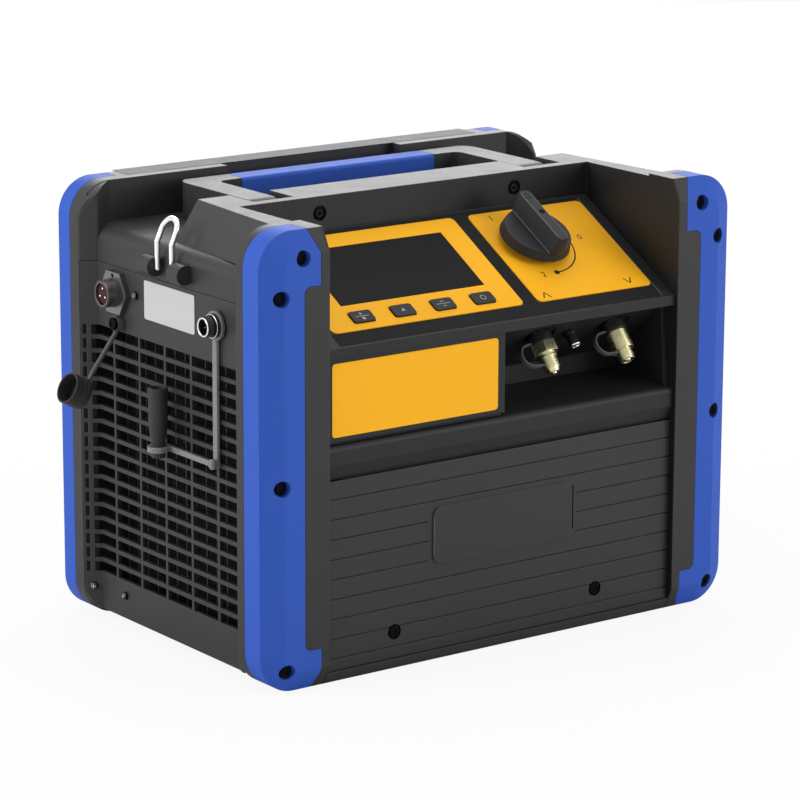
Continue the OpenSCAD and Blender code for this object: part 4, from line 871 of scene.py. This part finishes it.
class MACHINE_OT_plates(bpy.types.Operator):
    """Adds the bare film plates on the front and the left side"""

    bl_idname = "machine.plates"
    bl_label = "Bare plates"

    def execute(self, context):
        t = context.scene.machine_sizes.plate_thickness / MM
        front = facing((0, -127, 0), (0, -1, 0))
        plate = slab(round_rect(-144, -6, 169.4, 219.5, 2.5), -0.1, t, 0.12)
        make("front_plate", placed([plate], front), "housing", finish("yellow_overlay"))
        plate = slab(round_rect(228, 255, -33.5, 29, 1.6), -0.1, t, 0.12)
        make("side_plate", placed([plate], left_frame(0, 0)), "housing", finish("white_plate"))
        return {"FINISHED"}


class MACHINE_OT_knob_marks(bpy.types.Operator):
    """Adds the pointer notch, pale lines along the edges as painted highlights, and the set screw on the finger bar
    of the selector knob
    """

    bl_idname = "machine.knob_marks"
    bl_label = "Knob marks"

    def execute(self, context):
        knob, slot = (put(SELECTOR_AT, CONSOLE), CONSOLE[1]), SLOT_OF["selector_knob"]
        notch = ribbon(round_rect(-1.6, 1.6, 19.5, 24.5, 0.4, 3), 0.5, 26.8, 27.25, loop=True)
        make("knob_pointer", placed([notch], knob), "selector", finish("black_rubber"))
        # Painted highlights: pale lines along the bar's top edges and its foot
        s = np.linspace(-24.5, 24.5, 12)
        ridges = ((-4, 26.9), (4, 26.9), (-6.4, 13.1), (6.4, 13.1))
        edges = [tube(np.column_stack((x + 0 * s, s, z + 0 * s)), 0.3, 8) for x, z in ridges]
        make("knob_edge_highlights", placed(edges, knob), "selector", finish("pale_edge_highlight"))
        points, faces = turned([(2.2, 26.7), (2.2, 27.05), (1.9, 27.12), (1.6, 27.06)], 32)
        screw = points + (0.6, 4, 0), faces
        # The set screw in the near-black of painted shade
        make("knob_set_screw", placed([screw], knob), "selector", finish("painted_shade_black"))
        return {"FINISHED"}


class MACHINE_OT_tethers(bpy.types.Operator):
    """Adds the ribs of the dust cap, the lip of the rubber cap and the rivet of the clear elbow"""

    bl_idname = "machine.tethers"
    bl_label = "Caps and tethers"

    def execute(self, context):
        n = context.scene.machine_sizes.round_steps
        cap = (np.array((-222.086, 59.8, 173.481)), np.array(((0.454, 0, 0.891), (0, 1, 0), (-0.891, 0, 0.454))))
        ribs = [bead(11.0, h, 0.35, 0.6, n) for h in (3.0, 5.5)] + [bead(10.45, 13.0, 0.6, 0.5, n)]
        make("dust_cap_ribs", placed(ribs, cap), "dust_cap_tether", finish("black_rubber"))
        elbow_z = 145.5
        stand = (np.array((-201.5, -4.5, elbow_z)), np.eye(3))
        lips = [bead(5.8, 42.0, 1.2, 0.6, n), bead(4.9, 3.2, 0.5, 0.6, n)]
        make("sensor_cap_lip", placed(lips, stand), "sensor_elbow", finish("black_rubber"))
        rivet = turned([(2.6, 6.3), (2.6, 7.0), (2.1, 7.6), (1.2, 7.9)], 32)
        make("elbow_rivet", placed([rivet], left_frame(SENSOR_AT[0], elbow_z)), "sensor_elbow",
             finish("clear_plastic"))
        return {"FINISHED"}


WHITE = (1, 1, 1, 1)

# Height in metres that the lamps face, near the machine's middle
MIDDLE = 0.16

# Soft lamps in metres and watts: name, place, size of the square, power
LAMPS = (
    ("key_light", (-2.3, 0.7, 1.1), 1.2, 36),
    ("top_light", (0.2, 0.1, 2.2), 2.0, 15),
    ("front_light", (1.5, -2.2, 0.9), 1.2, 25),
    ("back_light", (1.75, 2.4, 1.05), 2.4, 58),
)

# The camera: focal length in millimetres on a 36 mm frame, place in metres, its axes backwards and to the right, roll
LENS = 163.92
CAMERA_AT = (-1.4837, -2.0284, 0.7674)
CAMERA_BACK, CAMERA_RIGHT, CAMERA_ROLL = (-0.5745, -0.7829, 0.2387), (0.8062, -0.5916, 0.0), math.radians(0.22)


class MACHINE_OT_stage(bpy.types.Operator):
    """Sets the pale floor, the soft studio lights, the white surround and the camera"""

    bl_idname = "machine.stage"
    bl_label = "Floor, lights and camera"

    def execute(self, context):
        scene = context.scene
        scene.view_settings.view_transform = "Standard"
        half, lines, below = 6.0, 5, 0.0004
        g = np.linspace(-half, half, lines)
        x, y = np.meshgrid(g, g)
        mesh = bpy.data.meshes.new("floor")
        mesh.from_pydata(np.column_stack((x.ravel(), y.ravel(), np.full(x.size, -below))).tolist(), [],
                         quads(lines, lines, ring_cols=False))
        floor = bpy.data.objects.new("floor", mesh)
        scene.collection.objects.link(floor)
        look = Finish("Pale floor", Roughness=0.8)
        look.feed(Base_Color=(0.82, 0.82, 0.82, 1), Specular_IOR_Level=0.0)
        seen = look.node("ShaderNodeLightPath", {}, {}, out="Is Camera Ray")
        shine = look.node("ShaderNodeEmission", {}, {"Color": WHITE, "Strength": 1.0})
        blend = look.node("ShaderNodeMixShader", {}, {0: seen * 0.9, 1: look.lit, 2: shine})
        look.join(blend, look.end.inputs["Surface"])
        mesh.materials.append(look.material)

        # White where the camera, metal or clear plastic sees it, and half as strong where it only gives light
        scene.world = bpy.data.worlds.new("surround")
        sky = Graph(scene.world)
        seen = sky.node("ShaderNodeLightPath", {}, {}, out="Is Camera Ray")
        seen = (seen + seen.other("Is Glossy Ray") + seen.other("Is Transmission Ray")).clamped()
        dim = sky.node("ShaderNodeBackground", {}, {"Color": WHITE, "Strength": 0.5})
        full = sky.node("ShaderNodeBackground", {}, {"Color": WHITE, "Strength": 1.0})
        blend = sky.node("ShaderNodeMixShader", {}, {0: seen, 1: dim, 2: full})
        sky.node("ShaderNodeOutputWorld", {}, {"Surface": blend}, out=None)

        for name, at, size, power in LAMPS:
            lamp = bpy.data.lights.new(name, "AREA")
            lamp.shape, lamp.size, lamp.energy = "SQUARE", size, power
            holder = bpy.data.objects.new(name, lamp)
            scene.collection.objects.link(holder)
            away = np.array(at) - (0, 0, MIDDLE)
            axes = facing(at, away, (0, 1, 0) if abs(away[2]) > 2 * abs(away[0]) else (0, 0, 1))[1]
            holder.matrix_world = Matrix.Translation(at) @ Matrix(axes.T.tolist()).to_4x4()

        camera = bpy.data.cameras.new("photo_camera")
        camera.sensor_fit, camera.sensor_width, camera.lens = "HORIZONTAL", 36.0, LENS
        camera.clip_start, camera.clip_end = 0.05, 50
        holder = bpy.data.objects.new("photo_camera", camera)
        scene.collection.objects.link(holder)
        back, right = np.array(CAMERA_BACK), np.array(CAMERA_RIGHT)
        right -= back * (right @ back)
        right, back = right / np.linalg.norm(right), back / np.linalg.norm(back)
        up = np.cross(back, right)
        c, s = math.cos(CAMERA_ROLL), math.sin(CAMERA_ROLL)
        axes = Matrix(np.column_stack((c * right + s * up, c * up - s * right, back)).tolist()).to_4x4()
        holder.matrix_world = Matrix.Translation(CAMERA_AT) @ axes
        scene.camera = holder
        return {"FINISHED"}


STEPS = (MACHINE_OT_mouldings, MACHINE_OT_screw_drives, MACHINE_OT_threads, MACHINE_OT_connector_rims,
         MACHINE_OT_port_trim, MACHINE_OT_console_print, MACHINE_OT_fin_pack, MACHINE_OT_console_field,
         MACHINE_OT_rear_corners, MACHINE_OT_key_legends, MACHINE_OT_plates, MACHINE_OT_knob_marks,
         MACHINE_OT_tethers, MACHINE_OT_stage)


class MACHINE_PT_pieces(bpy.types.Panel):
    """Lists the colours, sizes and pieces of the machine"""

    bl_idname = "MACHINE_PT_pieces"
    bl_label = "Recovery machine"
    bl_space_type = "VIEW_3D"
    bl_region_type = "UI"
    bl_category = "Machine"

    def draw(self, context):
        for group in (context.scene.machine_finishes, context.scene.machine_sizes):
            column = self.layout.column()
            for name in group.bl_rna.properties.keys():
                if name not in ("rna_type", "name"):
                    column.prop(group, name)
        for step in STEPS:
            self.layout.operator(step.bl_idname)


CLASSES = (MachineFinishes, MachineSizes, *STEPS, MACHINE_PT_pieces)


def register():
    for c in CLASSES:
        bpy.utils.register_class(c)
    bpy.types.Scene.machine_finishes = PointerProperty(type=MachineFinishes)
    bpy.types.Scene.machine_sizes = PointerProperty(type=MachineSizes)


def unregister():
    del bpy.types.Scene.machine_sizes
    del bpy.types.Scene.machine_finishes
    for c in reversed(CLASSES):
        bpy.utils.unregister_class(c)


def main():
    """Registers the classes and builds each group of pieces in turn."""
    register()
    bpy.ops.machine.mouldings()
    bpy.ops.machine.screw_drives()
    bpy.ops.machine.threads()
    bpy.ops.machine.connector_rims()
    bpy.ops.machine.port_trim()
    bpy.ops.machine.console_print()
    bpy.ops.machine.fin_pack()
    bpy.ops.machine.console_field()
    bpy.ops.machine.rear_corners()
    bpy.ops.machine.key_legends()
    bpy.ops.machine.plates()
    bpy.ops.machine.knob_marks()
    bpy.ops.machine.tethers()
    bpy.ops.machine.stage()


if __name__ == "__main__":
    main()
